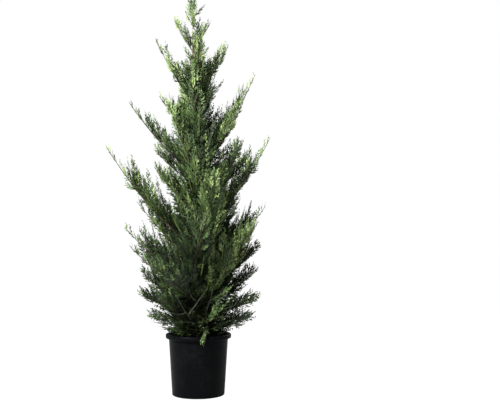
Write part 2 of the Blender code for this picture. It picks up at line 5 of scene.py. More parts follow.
import bpy
import numpy as np
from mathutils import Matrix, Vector


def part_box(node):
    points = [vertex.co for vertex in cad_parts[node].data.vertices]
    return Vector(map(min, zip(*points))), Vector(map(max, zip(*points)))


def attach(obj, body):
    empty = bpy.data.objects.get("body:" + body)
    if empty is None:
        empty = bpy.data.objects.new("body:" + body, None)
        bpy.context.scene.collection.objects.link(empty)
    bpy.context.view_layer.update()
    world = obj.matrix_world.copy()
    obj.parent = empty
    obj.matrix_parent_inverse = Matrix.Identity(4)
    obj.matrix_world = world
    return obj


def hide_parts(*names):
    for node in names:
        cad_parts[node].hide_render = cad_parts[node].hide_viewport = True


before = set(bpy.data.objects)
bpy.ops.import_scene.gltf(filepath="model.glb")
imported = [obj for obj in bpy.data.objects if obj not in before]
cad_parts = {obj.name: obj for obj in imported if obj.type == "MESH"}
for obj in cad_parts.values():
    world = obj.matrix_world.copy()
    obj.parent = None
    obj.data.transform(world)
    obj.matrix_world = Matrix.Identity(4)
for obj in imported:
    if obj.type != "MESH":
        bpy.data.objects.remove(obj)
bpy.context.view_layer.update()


# ------------------------------------------------------------------ the pot
# One injection-moulded wall of recycled black polypropylene, with a rolled rim to lift it by
# and drain holes round its floor. The moulding leaves it smooth, with a low sheen.
pot_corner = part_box("pot")[1]
POT_HEIGHT = pot_corner.z
RIM_RADIUS = pot_corner.x
BASE_RADIUS = 0.1355
SHOULDER_RADIUS = 0.1535
WALL = 0.0028
FLOOR_THICKNESS = 0.0035
RIM_DEPTH = 0.022
RIM_ROUND = 0.006
EDGE_ROUND = 0.004
FLOOR_ROUND = 0.003
POT_SIDES = 128
DRAIN_HOLES = 8
DRAIN_RADIUS = 0.008
DRAIN_INSET = 0.020
DRILL_SIDES = 20
DRILL_DEPTH = 0.02
POT_CREASE = 40
PLASTIC_DARK = (0.0022, 0.0028, 0.0032)
PLASTIC_SCUFFED = (0.0058, 0.0062, 0.0060)


def nothing_selected():
    if bpy.context.object and bpy.context.object.mode == "EDIT":
        bpy.ops.object.mode_set(mode="OBJECT")
    bpy.ops.object.select_all(action="DESELECT")


def only_selected(piece):
    """Makes one object the active one, with nothing else selected."""
    nothing_selected()
    bpy.context.view_layer.objects.active = piece
    piece.select_set(True)


def arc(centre_radius, centre_height, radius, first, last, steps):
    """Points of a quarter round in a turned profile, from one angle to another."""
    found = []
    for step in range(steps + 1):
        turn = math.radians(first + (last - first) * step / steps)
        found.append((centre_radius + radius * math.cos(turn), centre_height + radius * math.sin(turn)))
    return found


def drawn_up(name, profile, sides):
    """A closed turned solid: a filled ring at the profile's first point, extruded from ring to ring."""
    nothing_selected()
    radius, height = profile[0]
    bpy.ops.mesh.primitive_circle_add(
        vertices=sides, radius=radius, fill_type="NGON", location=(0, 0, height)
    )
    piece = bpy.context.object
    piece.name = name
    bpy.ops.object.transform_apply(location=True)
    bpy.ops.object.mode_set(mode="EDIT")
    bpy.ops.mesh.select_all(action="SELECT")
    for (radius, height), (wider, higher) in zip(profile, profile[1:]):
        bpy.ops.mesh.extrude_region_move(TRANSFORM_OT_translate={"value": (0, 0, higher - height)})
        grown = wider / radius
        bpy.ops.transform.resize(value=(grown, grown, 1), center_override=(0, 0, higher))
    bpy.ops.mesh.select_all(action="SELECT")
    bpy.ops.mesh.normals_make_consistent(inside=False)
    bpy.ops.object.mode_set(mode="OBJECT")
    return piece


def pot_profile():
    """The wall's outline, from the foot up the outside, over the rim and down the inside."""
    lip = RIM_RADIUS - RIM_ROUND
    under_rim = POT_HEIGHT - RIM_DEPTH
    mouth_radius = SHOULDER_RADIUS - WALL
    foot_radius = BASE_RADIUS - WALL
    corner = FLOOR_THICKNESS + FLOOR_ROUND
    outside = arc(BASE_RADIUS - EDGE_ROUND, EDGE_ROUND, EDGE_ROUND, -90, 0, 5)
    outside += [(SHOULDER_RADIUS, under_rim)]
    outside += arc(SHOULDER_RADIUS + EDGE_ROUND, under_rim, EDGE_ROUND, 180, 90, 3)
    rolled = arc(lip, under_rim + RIM_ROUND, RIM_ROUND, -90, 0, 5)
    rolled += arc(lip, POT_HEIGHT - RIM_ROUND, RIM_ROUND, 0, 90, 6)
    mouth = arc(mouth_radius + EDGE_ROUND, POT_HEIGHT - EDGE_ROUND, EDGE_ROUND, 90, 180, 4)
    inside = [(mouth_radius, under_rim), (foot_radius, corner)]
    inside += arc(foot_radius - FLOOR_ROUND, corner, FLOOR_ROUND, 0, -90, 3)[1:]
    return outside + rolled + mouth + inside


pot = drawn_up("nursery_pot", pot_profile(), POT_SIDES)

# The drain holes are drilled through the floor with one joined set of drills.
nothing_selected()
drills = []
for number in range(DRAIN_HOLES):
    turn = 2 * math.pi * (number + 0.5) / DRAIN_HOLES
    ring = BASE_RADIUS - DRAIN_INSET
    spot = (ring * math.cos(turn), ring * math.sin(turn), 0)
    bpy.ops.mesh.primitive_cylinder_add(
        vertices=DRILL_SIDES, radius=DRAIN_RADIUS, depth=DRILL_DEPTH, location=spot
    )
    drills.append(bpy.context.object)
only_selected(drills[0])
for drill in drills:
    drill.select_set(True)
bpy.ops.object.join()
holes = pot.modifiers.new("drain holes", "BOOLEAN")
holes.object = drills[0]
only_selected(pot)
bpy.ops.object.modifier_apply(modifier=holes.name)
bpy.data.objects.remove(drills[0])
bpy.ops.object.shade_smooth_by_angle(angle=math.radians(POT_CREASE))


def patches_group(detail=3, finer_by=6.3):
    """Soft patches of two sizes over a surface, for dust, damp and uneven growth: 0 to 1."""
    group = bpy.data.node_groups.new("patches", "ShaderNodeTree")
    for name, value in (("Scale", 10.0), ("Fine share", 0.4), ("From", 0.4), ("To", 0.65)):
        socket = group.interface.new_socket(name, in_out="INPUT", socket_type="NodeSocketFloat")
        socket.default_value = value
    group.interface.new_socket("Mask", in_out="OUTPUT", socket_type="NodeSocketFloat")
    nodes, links = group.nodes, group.links
    given, put = nodes.new("NodeGroupInput"), nodes.new("NodeGroupOutput")
    place = nodes.new("ShaderNodeTexCoord")
    coarse, fine = nodes.new("ShaderNodeTexNoise"), nodes.new("ShaderNodeTexNoise")
    coarse.inputs["Detail"].default_value = detail
    finer = nodes.new("ShaderNodeMath")
    finer.operation = "MULTIPLY"
    finer.inputs[1].default_value = finer_by
    links.new(given.outputs["Scale"], coarse.inputs["Scale"])
    links.new(given.outputs["Scale"], finer.inputs[0])
    links.new(finer.outputs[0], fine.inputs["Scale"])
    both = nodes.new("ShaderNodeMix")
    links.new(given.outputs["Fine share"], both.inputs["Factor"])
    links.new(coarse.outputs["Fac"], both.inputs["A"])
    links.new(fine.outputs["Fac"], both.inputs["B"])
    for noise in (coarse, fine):
        links.new(place.outputs["Object"], noise.inputs["Vector"])
    spread = nodes.new("ShaderNodeMapRange")
    links.new(both.outputs["Result"], spread.inputs["Value"])
    links.new(given.outputs["From"], spread.inputs["From Min"])
    links.new(given.outputs["To"], spread.inputs["From Max"])
    links.new(spread.outputs["Result"], put.inputs["Mask"])
    return group


patches = patches_group()


def finish(name, roughness=0.5, specular=0.5):
    """A new material and its shader, with the plain values set on the shader itself."""
    made = bpy.data.materials.new(name)
    made.use_nodes = True
    shader = made.node_tree.nodes["Principled BSDF"]
    shader.inputs["Roughness"].default_value = roughness
    shader.inputs["Specular IOR Level"].default_value = specular
    return made, shader


def patched(made, scale, start, end, fine_share=0.4):
    """Places the patches group in a material and returns its mask."""
    placed = made.node_tree.nodes.new("ShaderNodeGroup")
    placed.node_tree = patches
    placed.inputs["Scale"].default_value = scale
    placed.inputs["Fine share"].default_value = fine_share
    placed.inputs["From"].default_value = start
    placed.inputs["To"].default_value = end
    return placed.outputs["Mask"]


def mixed_colour(made, mask, low, high):
    """A colour that goes from low to high with a mask."""
    mix = made.node_tree.nodes.new("ShaderNodeMix")
    mix.data_type = "RGBA"
    mix.inputs["A"].default_value = (*low, 1)
    mix.inputs["B"].default_value = (*high, 1)
    made.node_tree.links.new(mask, mix.inputs["Factor"])
    return mix.outputs["Result"]


def mixed_number(made, mask, low, high):
    """A number that goes from low to high with a mask."""
    mix = made.node_tree.nodes.new("ShaderNodeMapRange")
    mix.inputs["To Min"].default_value = low
    mix.inputs["To Max"].default_value = high
    made.node_tree.links.new(mask, mix.inputs["Value"])
    return mix.outputs["Result"]


def bumped(made, height, depth):
    """The normal of a surface whose relief is height, depth metres deep."""
    bump = made.node_tree.nodes.new("ShaderNodeBump")
    bump.inputs["Strength"].default_value = 1.0
    bump.inputs["Distance"].default_value = depth
    made.node_tree.links.new(height, bump.inputs["Height"])
    return bump.outputs["Normal"]


plastic, shader = finish("black_polypropylene", specular=0.04)
link = plastic.node_tree.links.new
scuffs = patched(plastic, scale=9, start=0.50, end=0.72, fine_share=0.45)
grain = patched(plastic, scale=420, start=0.3, end=0.7)
link(mixed_colour(plastic, scuffs, PLASTIC_DARK, PLASTIC_SCUFFED), shader.inputs["Base Color"])
link(mixed_number(plastic, scuffs, low=0.36, high=0.52), shader.inputs["Roughness"])
link(bumped(plastic, grain, depth=0.00006), shader.inputs["Normal"])
pot.data.materials.append(plastic)
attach(pot, "root")
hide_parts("pot")


# ------------------------------------------------------------------ the compost
# Moist bark-based potting compost, a little below the rim, mounded towards the stem.
# Flakes of composted bark lie all over it.
COMPOST_LEVEL = 0.283
COMPOST_MOUND = 0.008
COMPOST_RIPPLE = 0.35
COMPOST_UNDERSIDE = 0.0042
COMPOST_WIDTH_FROM = 0.006
COMPOST_GAP = 0.0006
COMPOST_RINGS = 26
COMPOST_SIDES = 96
CRUMB = 0.0016
CRUMBS_FROM = 0.02
STEM_FOOT_RADIUS = 0.0160
FLARE_RADIUS = 0.009
CHIPS = 900
CHIP_SMALLEST = (0.0022, 0.0012, 0.0004)
CHIP_LARGEST = (0.0075, 0.0036, 0.0011)
CHIPS_WITHIN = 0.97
CHIP_LIFT = 0.0012
CHIP_TILT = 0.25
PEAT_WET = (0.010, 0.007, 0.005)
PEAT_DRY = (0.045, 0.028, 0.017)
FLAKE_WET = (0.020, 0.012, 0.008)
FLAKE_DRY = (0.095, 0.056, 0.032)
chance = np.random.default_rng(11)


def pot_inside(height):
    """The radius of the inside of the pot's wall at a height."""
    share = (height - FLOOR_THICKNESS) / (POT_HEIGHT - RIM_DEPTH - FLOOR_THICKNESS)
    return BASE_RADIUS - WALL + (SHOULDER_RADIUS - BASE_RADIUS) * share


def compost_height(radius, turn):
    """The compost's top: uneven, lower towards the pot's wall, level under the stem."""
    ripple = np.sin(3 * turn + 40 * radius) * np.cos(2 * turn)
    foot = STEM_FOOT_RADIUS + FLARE_RADIUS
    blend = np.clip((radius - foot) / foot, 0, 1)
    return COMPOST_LEVEL + blend * (COMPOST_RIPPLE * COMPOST_MOUND * ripple - COMPOST_MOUND * blend)


# Its foot is as wide as the pot is a little higher, clear of the pot's rounded corner.
side_height = COMPOST_LEVEL - 2 * COMPOST_MOUND
compost_radius = pot_inside(side_height) - COMPOST_GAP
compost_side = [
    (pot_inside(COMPOST_WIDTH_FROM) - COMPOST_GAP, COMPOST_UNDERSIDE),
    (compost_radius, side_height),
]
top_radii = [compost_radius * (1 - ring / COMPOST_RINGS) for ring in range(1, COMPOST_RINGS)]
compost = drawn_up(
    "potting_compost", compost_side + [(radius, COMPOST_LEVEL) for radius in top_radii], COMPOST_SIDES
)

# The level top is shaped to its mound, with crumbs all over it but close to the stem.
flat = np.empty(len(compost.data.vertices) * 3, np.float32)
compost.data.vertices.foreach_get("co", flat)
places = flat.reshape(-1, 3)
on_top = places[:, 2] > side_height + 1e-4
radius, turn = np.hypot(places[:, 0], places[:, 1]), np.arctan2(places[:, 1], places[:, 0])
crumbs = CRUMB * chance.normal(size=len(places)).clip(-1.5, 1.5)
mounded = compost_height(radius, turn) + crumbs * (radius > CRUMBS_FROM)
places[:, 2] = np.where(on_top, mounded, places[:, 2])
compost.data.vertices.foreach_set("co", places.ravel())
compost.data.update()


def joined_mesh(name, points, faces, made):
    """One mesh object from an array of points and an array of faces of equal size."""
    mesh = bpy.data.meshes.new(name)
    sides = faces.shape[1]
    mesh.vertices.add(len(points))
    mesh.vertices.foreach_set("co", np.asarray(points, np.float32).ravel())
    mesh.loops.add(faces.size)
    mesh.loops.foreach_set("vertex_index", faces.astype(np.int32).ravel())
    mesh.polygons.add(len(faces))
    mesh.polygons.foreach_set("loop_start", np.arange(0, faces.size, sides, dtype=np.int32))
    mesh.polygons.foreach_set("loop_total", np.full(len(faces), sides, np.int32))
    mesh.update(calc_edges=True)
    mesh.validate()
    mesh.materials.append(made)
    piece = bpy.data.objects.new(name, mesh)
    bpy.context.scene.collection.objects.link(piece)
    return piece


def repeated(template, count):
    """The faces of a template, numbered for count copies of its points in a row."""
    corners = template.max() + 1
    return (template[None] + corners * np.arange(count)[:, None, None]).reshape(-1, template.shape[1])


def unit(vectors):
    return vectors / np.linalg.norm(vectors, axis=-1, keepdims=True)


BOX_CORNERS = np.array([(x, y, z) for z in (-1, 1) for y in (-1, 1) for x in (-1, 1)], float)
BOX_FACES = np.array([(0, 2, 3, 1), (4, 5, 7, 6), (0, 1, 5, 4), (2, 6, 7, 3), (0, 4, 6, 2), (1, 3, 7, 5)])
chip_radius = compost_radius * CHIPS_WITHIN * np.sqrt(chance.uniform(0.03, 1, CHIPS))
chip_turn = chance.uniform(0, 2 * math.pi, CHIPS)
chip_middle = np.stack([
    chip_radius * np.cos(chip_turn),
    chip_radius * np.sin(chip_turn),
    compost_height(chip_radius, chip_turn) + CHIP_LIFT,
], 1)
chip_size = chance.uniform(CHIP_SMALLEST, CHIP_LARGEST, (CHIPS, 3))
along = unit(chance.normal(size=(CHIPS, 3)) * (1, 1, CHIP_TILT))
across = unit(np.cross(along, chance.normal(size=(CHIPS, 3)) * CHIP_TILT + (0, 0, 1)))
chip_axes = np.stack([along, across, np.cross(along, across)], 1)
corners = BOX_CORNERS[None] * chip_size[:, None] * chance.uniform(0.6, 1.0, (CHIPS, 8, 1))
chip_points = (corners @ chip_axes + chip_middle[:, None]).reshape(-1, 3)

peat, shader = finish("damp_compost", roughness=0.95, specular=0.25)
link = peat.node_tree.links.new
damp = patched(peat, scale=60, start=0.35, end=0.65, fine_share=0.5)
link(mixed_colour(peat, damp, PEAT_WET, PEAT_DRY), shader.inputs["Base Color"])
link(bumped(peat, damp, depth=0.0015), shader.inputs["Normal"])
compost.data.materials.append(peat)

flake, shader = finish("bark_flakes", roughness=0.85, specular=0.3)
link = flake.node_tree.links.new
rotted = patched(flake, scale=90, start=0.35, end=0.65, fine_share=0.5)
link(mixed_colour(flake, rotted, FLAKE_WET, FLAKE_DRY), shader.inputs["Base Color"])
link(bumped(flake, rotted, depth=0.0004), shader.inputs["Normal"])
chips = joined_mesh("bark_chips", chip_points, repeated(BOX_FACES, CHIPS), flake)
for piece in (compost, chips):
    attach(piece, "root")
    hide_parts("compost")


# ------------------------------------------------------------------ the stem's course
# One upright leader, 32 mm thick at the compost and 6 mm at 1.9 m. It was never staked, so it
# wavers a little, and it leans to one side higher up.
STEM_TOP = 1.90
STEM_TOP_RADIUS = 0.0032
STEM_TAPER = 0.8
LEAN = 0.034
LEAN_FROM = 1.22
LEAN_TO = 1.85
WAVER = 0.007
WAVER_LENGTH = 0.85
WAVER_FULL_AT = 0.3
UP = np.array((0.0, 0.0, 1.0))


def smooth_step(low, high, value):
    share = np.clip((value - low) / (high - low), 0, 1)
    return share * share * (3 - 2 * share)


def stem_centre(height):
    """The stem's middle at a height: upright below, leaning to -X higher up, never quite straight."""
    height = np.asarray(height, float)
    above = height - COMPOST_LEVEL
    lean = -LEAN * smooth_step(LEAN_FROM, LEAN_TO, height)
    waver = WAVER * np.sin(2 * math.pi * above / WAVER_LENGTH) * smooth_step(0, WAVER_FULL_AT, above)
    return np.stack([lean, waver, height], -1)


def stem_radius(height):
    share = np.clip((height - COMPOST_LEVEL) / (STEM_TOP - COMPOST_LEVEL), 0, 1)
    return STEM_FOOT_RADIUS + (STEM_TOP_RADIUS - STEM_FOOT_RADIUS) * share**STEM_TAPER


# ------------------------------------------------------------------ the limbs' courses
# The limbs leave the stem all round and sweep up to their tips, long and nearly level low down
# and short and steep toward the top. Each one is a curve of three points.

# Limbs that make the outline, seen from the front: height on the stem, bearing, reach and
# height of the tip, and how far the tip's bearing has swung from the foot's. Bearings are in
# degrees, counter-clockwise seen from above, with 0 at +X, so 270 is the front.
OUTLINE_LIMBS = (
    (0.335, 6, 0.285, 0.395, 6),
    (0.345, 186, 0.255, 0.405, -8),
    (0.385, 290, 0.225, 0.272, -14),
    (0.395, 358, 0.310, 0.495, -6),
    (0.400, 176, 0.310, 0.520, 6),
    (0.430, 198, 0.310, 0.640, 8),
    (0.450, 334, 0.320, 0.900, 10),
    (0.440, 18, 0.320, 0.640, -8),
    (0.480, 168, 0.365, 0.770, 6),
    (0.530, 10, 0.330, 0.770, -8),
    (0.560, 186, 0.385, 0.865, -6),
    (0.640, 356, 0.355, 0.980, 8),
    (0.670, 162, 0.335, 1.005, 8),
    (0.740, 178, 0.485, 1.290, 4),
    (0.830, 2, 0.390, 1.350, 6),
    (0.930, 192, 0.235, 1.180, -6),
    (0.980, 16, 0.275, 1.250, -8),
    (1.080, 170, 0.235, 1.275, 8),
    (1.130, 184, 0.355, 1.515, 6),
    (1.170, 350, 0.255, 1.520, -6),
    (1.240, 4, 0.335, 1.690, 6),
    (1.300, 198, 0.195, 1.550, -8),
    (1.500, 176, 0.200, 1.860, -6),
    (1.560, 14, 0.190, 1.835, -8),
    (1.790, 190, 0.100, 1.970, -8),
    (1.810, 350, 0.092, 1.945, 8),
)

# The other limbs fill the crown's front and back, by a rule: front and back in turn, closer
# together low on the stem, each turned aside where it would run into another.
FILL_LIMBS = 16
FILL_FOOT = 0.37
FILL_HEAD = 1.62
FILL_CROWDING = 1.4
FILL_ARC = 104
FILL_RISE = 0.42
FILL_RISE_AT_FOOT = 0.13
FILL_FULL_RISE_AFTER = 0.3
FILL_HEADROOM = 0.80
FILL_VIGOUR = 0.30
FILL_SWING = 8
FILL_TURNS = (0, 10, -10, 20, -20, 30, -30, 40, -40, 50, -50)
LIMB_PASSING = 0.006
PAST_STEM = 0.012
GOLDEN_SHARE = 0.618034

# The crown's body, and the bend and girth of a limb.
CROWN_FOOT = 0.33
CROWN_WIDEST_AT = 0.78
CROWN_REACH = 0.33
CROWN_TOP = 2.095
CROWN_TAPER = 0.75
LEAST_AT_FOOT = 0.12
LEAST_AT_TOP = 0.03
LIMB_SAG = 0.36
LIMB_BELLY = 0.56
DROOPING_RISE = 0.055
LIMB_GIRTH = 0.0125
LONGEST_FOR_GIRTH = 0.6
THINNEST_LIMB = 0.0028
LIMB_TO_STEM = 0.6
LIMB_TIP_RADIUS = 0.0010
LIMB_TAPER = 0.8
SHORTEST_WITH_BOUGH = 0.485
SPINE_STEPS = 40

# How wide the foliage on a limb stands, and how far it may go past the limb's tip.
PLUME = 0.150
PLUME_ABOVE = 0.078
PLUME_FROM = 0.80
PLUME_TO = 1.20
PAST_TIP = 0.012
LOW_HEADROOM = 0.12
LEVEL_RISE = 0.15
STEEP_RISE = 0.35
LEADER_LEAN = 0.012
LEADER_BOW = 0.004
LEADER_SPREAD = 0.10
GAP = 0.0003


def crown_reach(height):
    """How far the crown's body reaches from the stem at a height."""
    if height < CROWN_WIDEST_AT:
        below = (CROWN_WIDEST_AT - height) / (CROWN_WIDEST_AT - CROWN_FOOT)
        return CROWN_REACH * math.sqrt(max(LEAST_AT_FOOT, 1 - below * below))
    above = (height - CROWN_WIDEST_AT) / (CROWN_TOP - CROWN_WIDEST_AT)
    return CROWN_REACH * max(LEAST_AT_TOP, 1 - above) ** CROWN_TAPER


class Limb:
    """A curve from the stem's middle to the tip of a limb."""

    def __init__(self, number, foot, bearing, reach, tip_height, swing):
        self.number = number
        base, tip_centre = stem_centre(foot), stem_centre(tip_height)
        tip_turn, belly_turn = math.radians(bearing + swing), math.radians(bearing - swing)
        outward = np.array((math.cos(tip_turn), math.sin(tip_turn), 0))
        side = np.array((math.cos(belly_turn), math.sin(belly_turn), 0))
        rise = tip_height - foot
        low = foot + (LIMB_SAG * rise if rise > 0 else DROOPING_RISE)
        belly = np.array((base[0], base[1], low)) + side * (LIMB_BELLY * reach)
        tip = tip_centre + outward * reach
        self.curve = (base, belly, tip)
        self.length = self.measured()
        self.has_bough = self.length > SHORTEST_WITH_BOUGH
        girth = LIMB_GIRTH * min(self.length, LONGEST_FOR_GIRTH)
        self.radius = max(THINNEST_LIMB, min(girth, LIMB_TO_STEM * stem_radius(foot)))
        narrowing = smooth_step(PLUME_FROM, PLUME_TO, 0.5 * (foot + tip_height))
        self.plume = PLUME + (PLUME_ABOVE - PLUME) * narrowing
        levelness = 1 - smooth_step(LEVEL_RISE, STEEP_RISE, rise)
        self.farthest = reach + PAST_TIP
        self.highest = tip_height + PAST_TIP + LOW_HEADROOM * levelness
        self.spine = self.at(np.arange(2, SPINE_STEPS + 1) / SPINE_STEPS)

    def measured(self):
        base, belly, tip = self.curve
        legs = np.linalg.norm(belly - base) + np.linalg.norm(tip - belly)
        return (legs + 2 * np.linalg.norm(tip - base)) / 3

    def at(self, share):
        share = np.asarray(share, float)[..., None]
        base, belly, tip = self.curve
        return base * (1 - share) ** 2 + belly * (2 * share * (1 - share)) + tip * share**2

    def along(self, share):
        share = np.asarray(share, float)[..., None]
        base, belly, tip = self.curve
        return unit((belly - base) * (1 - share) + (tip - belly) * share)

    def girth_at(self, share):
        return self.radius + (LIMB_TIP_RADIUS - self.radius) * share**LIMB_TAPER


def leader_limb(number):
    """The top of the stem, which goes straight on from the stem's end."""
    limb = Limb(number, STEM_TOP, 0, LEADER_LEAN, CROWN_TOP, 0)
    base = stem_centre(STEM_TOP) + UP * GAP
    tip = np.array((base[0] + LEADER_LEAN, base[1], CROWN_TOP))
    limb.curve = (base, (base + tip) / 2 - np.array((LEADER_BOW, 0, 0)), tip)
    limb.length = np.linalg.norm(tip - base)
    limb.radius = STEM_TOP_RADIUS
    limb.farthest = LEADER_SPREAD
    limb.highest = CROWN_TOP
    return limb


def fill_limb(number, order, turn):
    """One of the limbs of the crown's front and back, from its order up the stem."""
    share = (order + 0.5) / FILL_LIMBS
    foot = FILL_FOOT + (FILL_HEAD - FILL_FOOT) * share**FILL_CROWDING
    facing = 90 if order % 2 else 270
    bearing = facing + FILL_ARC * ((order * GOLDEN_SHARE) % 1 - 0.5) + turn
    climb = min(1, (foot - FILL_FOOT) / FILL_FULL_RISE_AFTER)
    rise = FILL_RISE_AT_FOOT + (FILL_RISE - FILL_RISE_AT_FOOT) * climb
    tip_height = min(foot + rise, foot + FILL_HEADROOM * (CROWN_TOP - foot))
    vigour = 1.0 + FILL_VIGOUR * ((order * GOLDEN_SHARE * 3) % 1)
    swing = FILL_SWING * (-1) ** (order // 2)
    return Limb(number, foot, bearing, vigour * crown_reach(tip_height), tip_height, swing)


def distance_to(points, spine):
    """The distance of each point to the nearest stretch of a spine."""
    starts, steps = spine[:-1], np.diff(spine, axis=0)
    offset = points[:, None, :] - starts[None]
    share = (offset * steps).sum(2) / (steps * steps).sum(1)
    near = starts + np.clip(share, 0, 1)[..., None] * steps
    return np.linalg.norm(points[:, None, :] - near, axis=2).min(1)


def clears(limb, others):
    """Whether a limb runs past the others without coming near their wood."""
    past_stem = np.hypot(limb.spine[:, 0] - limb.spine[0, 0], limb.spine[:, 1]) > PAST_STEM
    for other in others:
        away = distance_to(limb.spine, other.spine)
        if away[past_stem].min() < limb.radius + other.radius + LIMB_PASSING:
            return False
    return True


limbs = [Limb(number + 1, *row) for number, row in enumerate(OUTLINE_LIMBS)]
for order in range(FILL_LIMBS):
    for turn in FILL_TURNS:
        limb = fill_limb(len(limbs) + 1, order, turn)
        if clears(limb, limbs):
            break
    limbs.append(limb)
leader = leader_limb(len(limbs) + 1)
limbs.append(leader)


# ------------------------------------------------------------------ the stem's bark
# Thin red-brown bark, ridged along the grain, over a stem that flares at its foot. It swells
# into a collar round each limb.
STEM_SIDES = 28
STEM_RINGS = 230
FLARE_HEIGHT = 0.035
FLARE_LOBES = 4
LOBE_DEPTH = 0.35
RIDGE_DEPTH = 0.045
COLLAR_RISE = 0.3
COLLAR_SWELL = 0.45
COLLAR_SPREAD = 1.3
BARK_CREASE = 50
STEM_FURROW = (0.060, 0.034, 0.022)
STEM_RIDGE = (0.200, 0.120, 0.078)


def tube_faces(rings, sides):
    """Four-cornered faces between rings that follow one another."""
    low = np.arange((rings - 1) * sides).reshape(rings - 1, sides)
    after = np.roll(low, -1, axis=1)
    return np.stack([low, after, after + sides, low + sides], -1).reshape(-1, 4)


def bark_material(name, low, high, patch_scale):
    made, shader = finish(name, specular=0.3)
    link = made.node_tree.links.new
    worn = patched(made, patch_scale, start=0.36, end=0.66, fine_share=0.5)
    link(mixed_colour(made, worn, low, high), shader.inputs["Base Color"])
    link(mixed_number(made, worn, low=0.72, high=0.92), shader.inputs["Roughness"])
    link(bumped(made, worn, depth=0.0009), shader.inputs["Normal"])
    return made


stem_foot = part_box("stem")[0].z
heights = np.linspace(stem_foot, STEM_TOP, STEM_RINGS)[:, None]
turns = (2 * math.pi * np.arange(STEM_SIDES) / STEM_SIDES)[None]
flare = FLARE_RADIUS * np.exp(-(heights - stem_foot) / FLARE_HEIGHT)
outer = stem_radius(heights) + flare * (1 - LOBE_DEPTH + LOBE_DEPTH * np.cos(FLARE_LOBES * turns))

# Two sets of broken ridges, nine and fourteen round the stem, that wander as they climb.
grain_turn = turns + 0.5 * np.sin(3.1 * heights)
ridges = np.sin(9 * grain_turn + 7 * np.sin(11 * heights)) * np.sin(38 * heights + 3 * grain_turn)
ridges += 0.6 * np.sin(14 * grain_turn - 9 * np.sin(17 * heights)) * np.sin(67 * heights)
outer = outer * (1 + RIDGE_DEPTH * ridges)
for limb in limbs[:-1]:
    base, belly, tip = limb.curve
    bearing = math.atan2(belly[1] - base[1], belly[0] - base[0])
    off_turn = np.angle(np.exp(1j * (turns - bearing))) * stem_radius(base[2])
    off_height = heights - base[2] - COLLAR_RISE * limb.radius
    nearness = np.exp(-(off_turn**2 + off_height**2) / (COLLAR_SPREAD * limb.radius) ** 2)
    outer = outer + COLLAR_SWELL * limb.radius * nearness
centres = stem_centre(heights[:, 0])[:, None]
rings = centres + outer[..., None] * np.stack([np.cos(turns), np.sin(turns), 0 * turns], -1)

stem = joined_mesh(
    "stem_bark",
    rings.reshape(-1, 3),
    tube_faces(STEM_RINGS, STEM_SIDES),
    bark_material("red_brown_bark", STEM_FURROW, STEM_RIDGE, patch_scale=55),
)
only_selected(stem)
bpy.ops.object.mode_set(mode="EDIT")
bpy.ops.mesh.select_all(action="DESELECT")
bpy.ops.mesh.select_non_manifold(extend=False)
bpy.ops.mesh.fill_holes(sides=0)
bpy.ops.mesh.select_all(action="SELECT")
bpy.ops.mesh.normals_make_consistent(inside=False)
bpy.ops.object.mode_set(mode="OBJECT")
bpy.ops.object.shade_smooth_by_angle(angle=math.radians(BARK_CREASE))
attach(stem, "root")
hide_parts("stem")


# ------------------------------------------------------------------ the limbs' wood
# Each limb is a tapering branch that leaves the stem low and sweeps up to its tip.
# The wood is grey-brown with small bumps where side shoots leave it.
LIMB_SIDES = 8
LIMB_RINGS = 18
RINGS_CROWDING = 0.9
LIMB_SET_IN = 0.4
LIMB_WOOD_END = 0.985
KNOB_DEPTH = 0.10
KNOB_WAVES = 47
LIMB_FURROW = (0.030, 0.025, 0.016)
LIMB_RIDGE = (0.085, 0.072, 0.044)


def tube_points(centres, radii, axes, sides):
    """Rings of points round many tubes: centres and axes are (tubes, rings, 3), radii (tubes, rings)."""
    level = np.cross(axes, UP)
    upright = np.linalg.norm(level, axis=-1, keepdims=True) < 0.05
    level = unit(np.where(upright, np.cross(axes, (1.0, 0.0, 0.0)), level))
    above = np.cross(level, axes)
    turns = 2 * math.pi * np.arange(sides) / sides
    round_it = (
        level[..., None, :] * np.cos(turns)[:, None] + above[..., None, :] * np.sin(turns)[:, None]
    )
    return centres[..., None, :] + radii[..., None, None] * round_it


def tube_template(rings, sides):
    """Faces of one closed tube with a flat foot and a pointed end, in threes."""
    quads = tube_faces(rings, sides)
    threes = np.concatenate([quads[:, [0, 1, 2]], quads[:, [0, 2, 3]]])
    last = (rings - 1) * sides
    foot = np.array([(0, side + 1, side) for side in range(1, sides - 1)])
    tip = np.array([(last + side, last + (side + 1) % sides, rings * sides) for side in range(sides)])
    return np.concatenate([threes, foot, tip])


limb_shares = np.linspace(0, 1, LIMB_RINGS) ** RINGS_CROWDING
limb_points = []
for limb in limbs[:-1]:
    start = LIMB_SET_IN * stem_radius(limb.curve[0][2]) / limb.length
    shares = start + (LIMB_WOOD_END - start) * limb_shares
    knobs = KNOB_DEPTH * np.sin(9 * limb.number + KNOB_WAVES * shares)
    radii = limb.girth_at(shares) * (1 + knobs)
    points = tube_points(limb.at(shares), radii, limb.along(shares), LIMB_SIDES).reshape(-1, 3)
    limb_points.append(np.concatenate([points, limb.at([1.0])]))
wood = joined_mesh(
    "limb_wood",
    np.concatenate(limb_points),
    repeated(tube_template(LIMB_RINGS, LIMB_SIDES), len(limb_points)),
    bark_material("grey_brown_bark", LIMB_FURROW, LIMB_RIDGE, patch_scale=80),
)
wood.data.shade_smooth()
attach(wood, "root")
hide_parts(*sorted(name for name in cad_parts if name.startswith("bough_")))


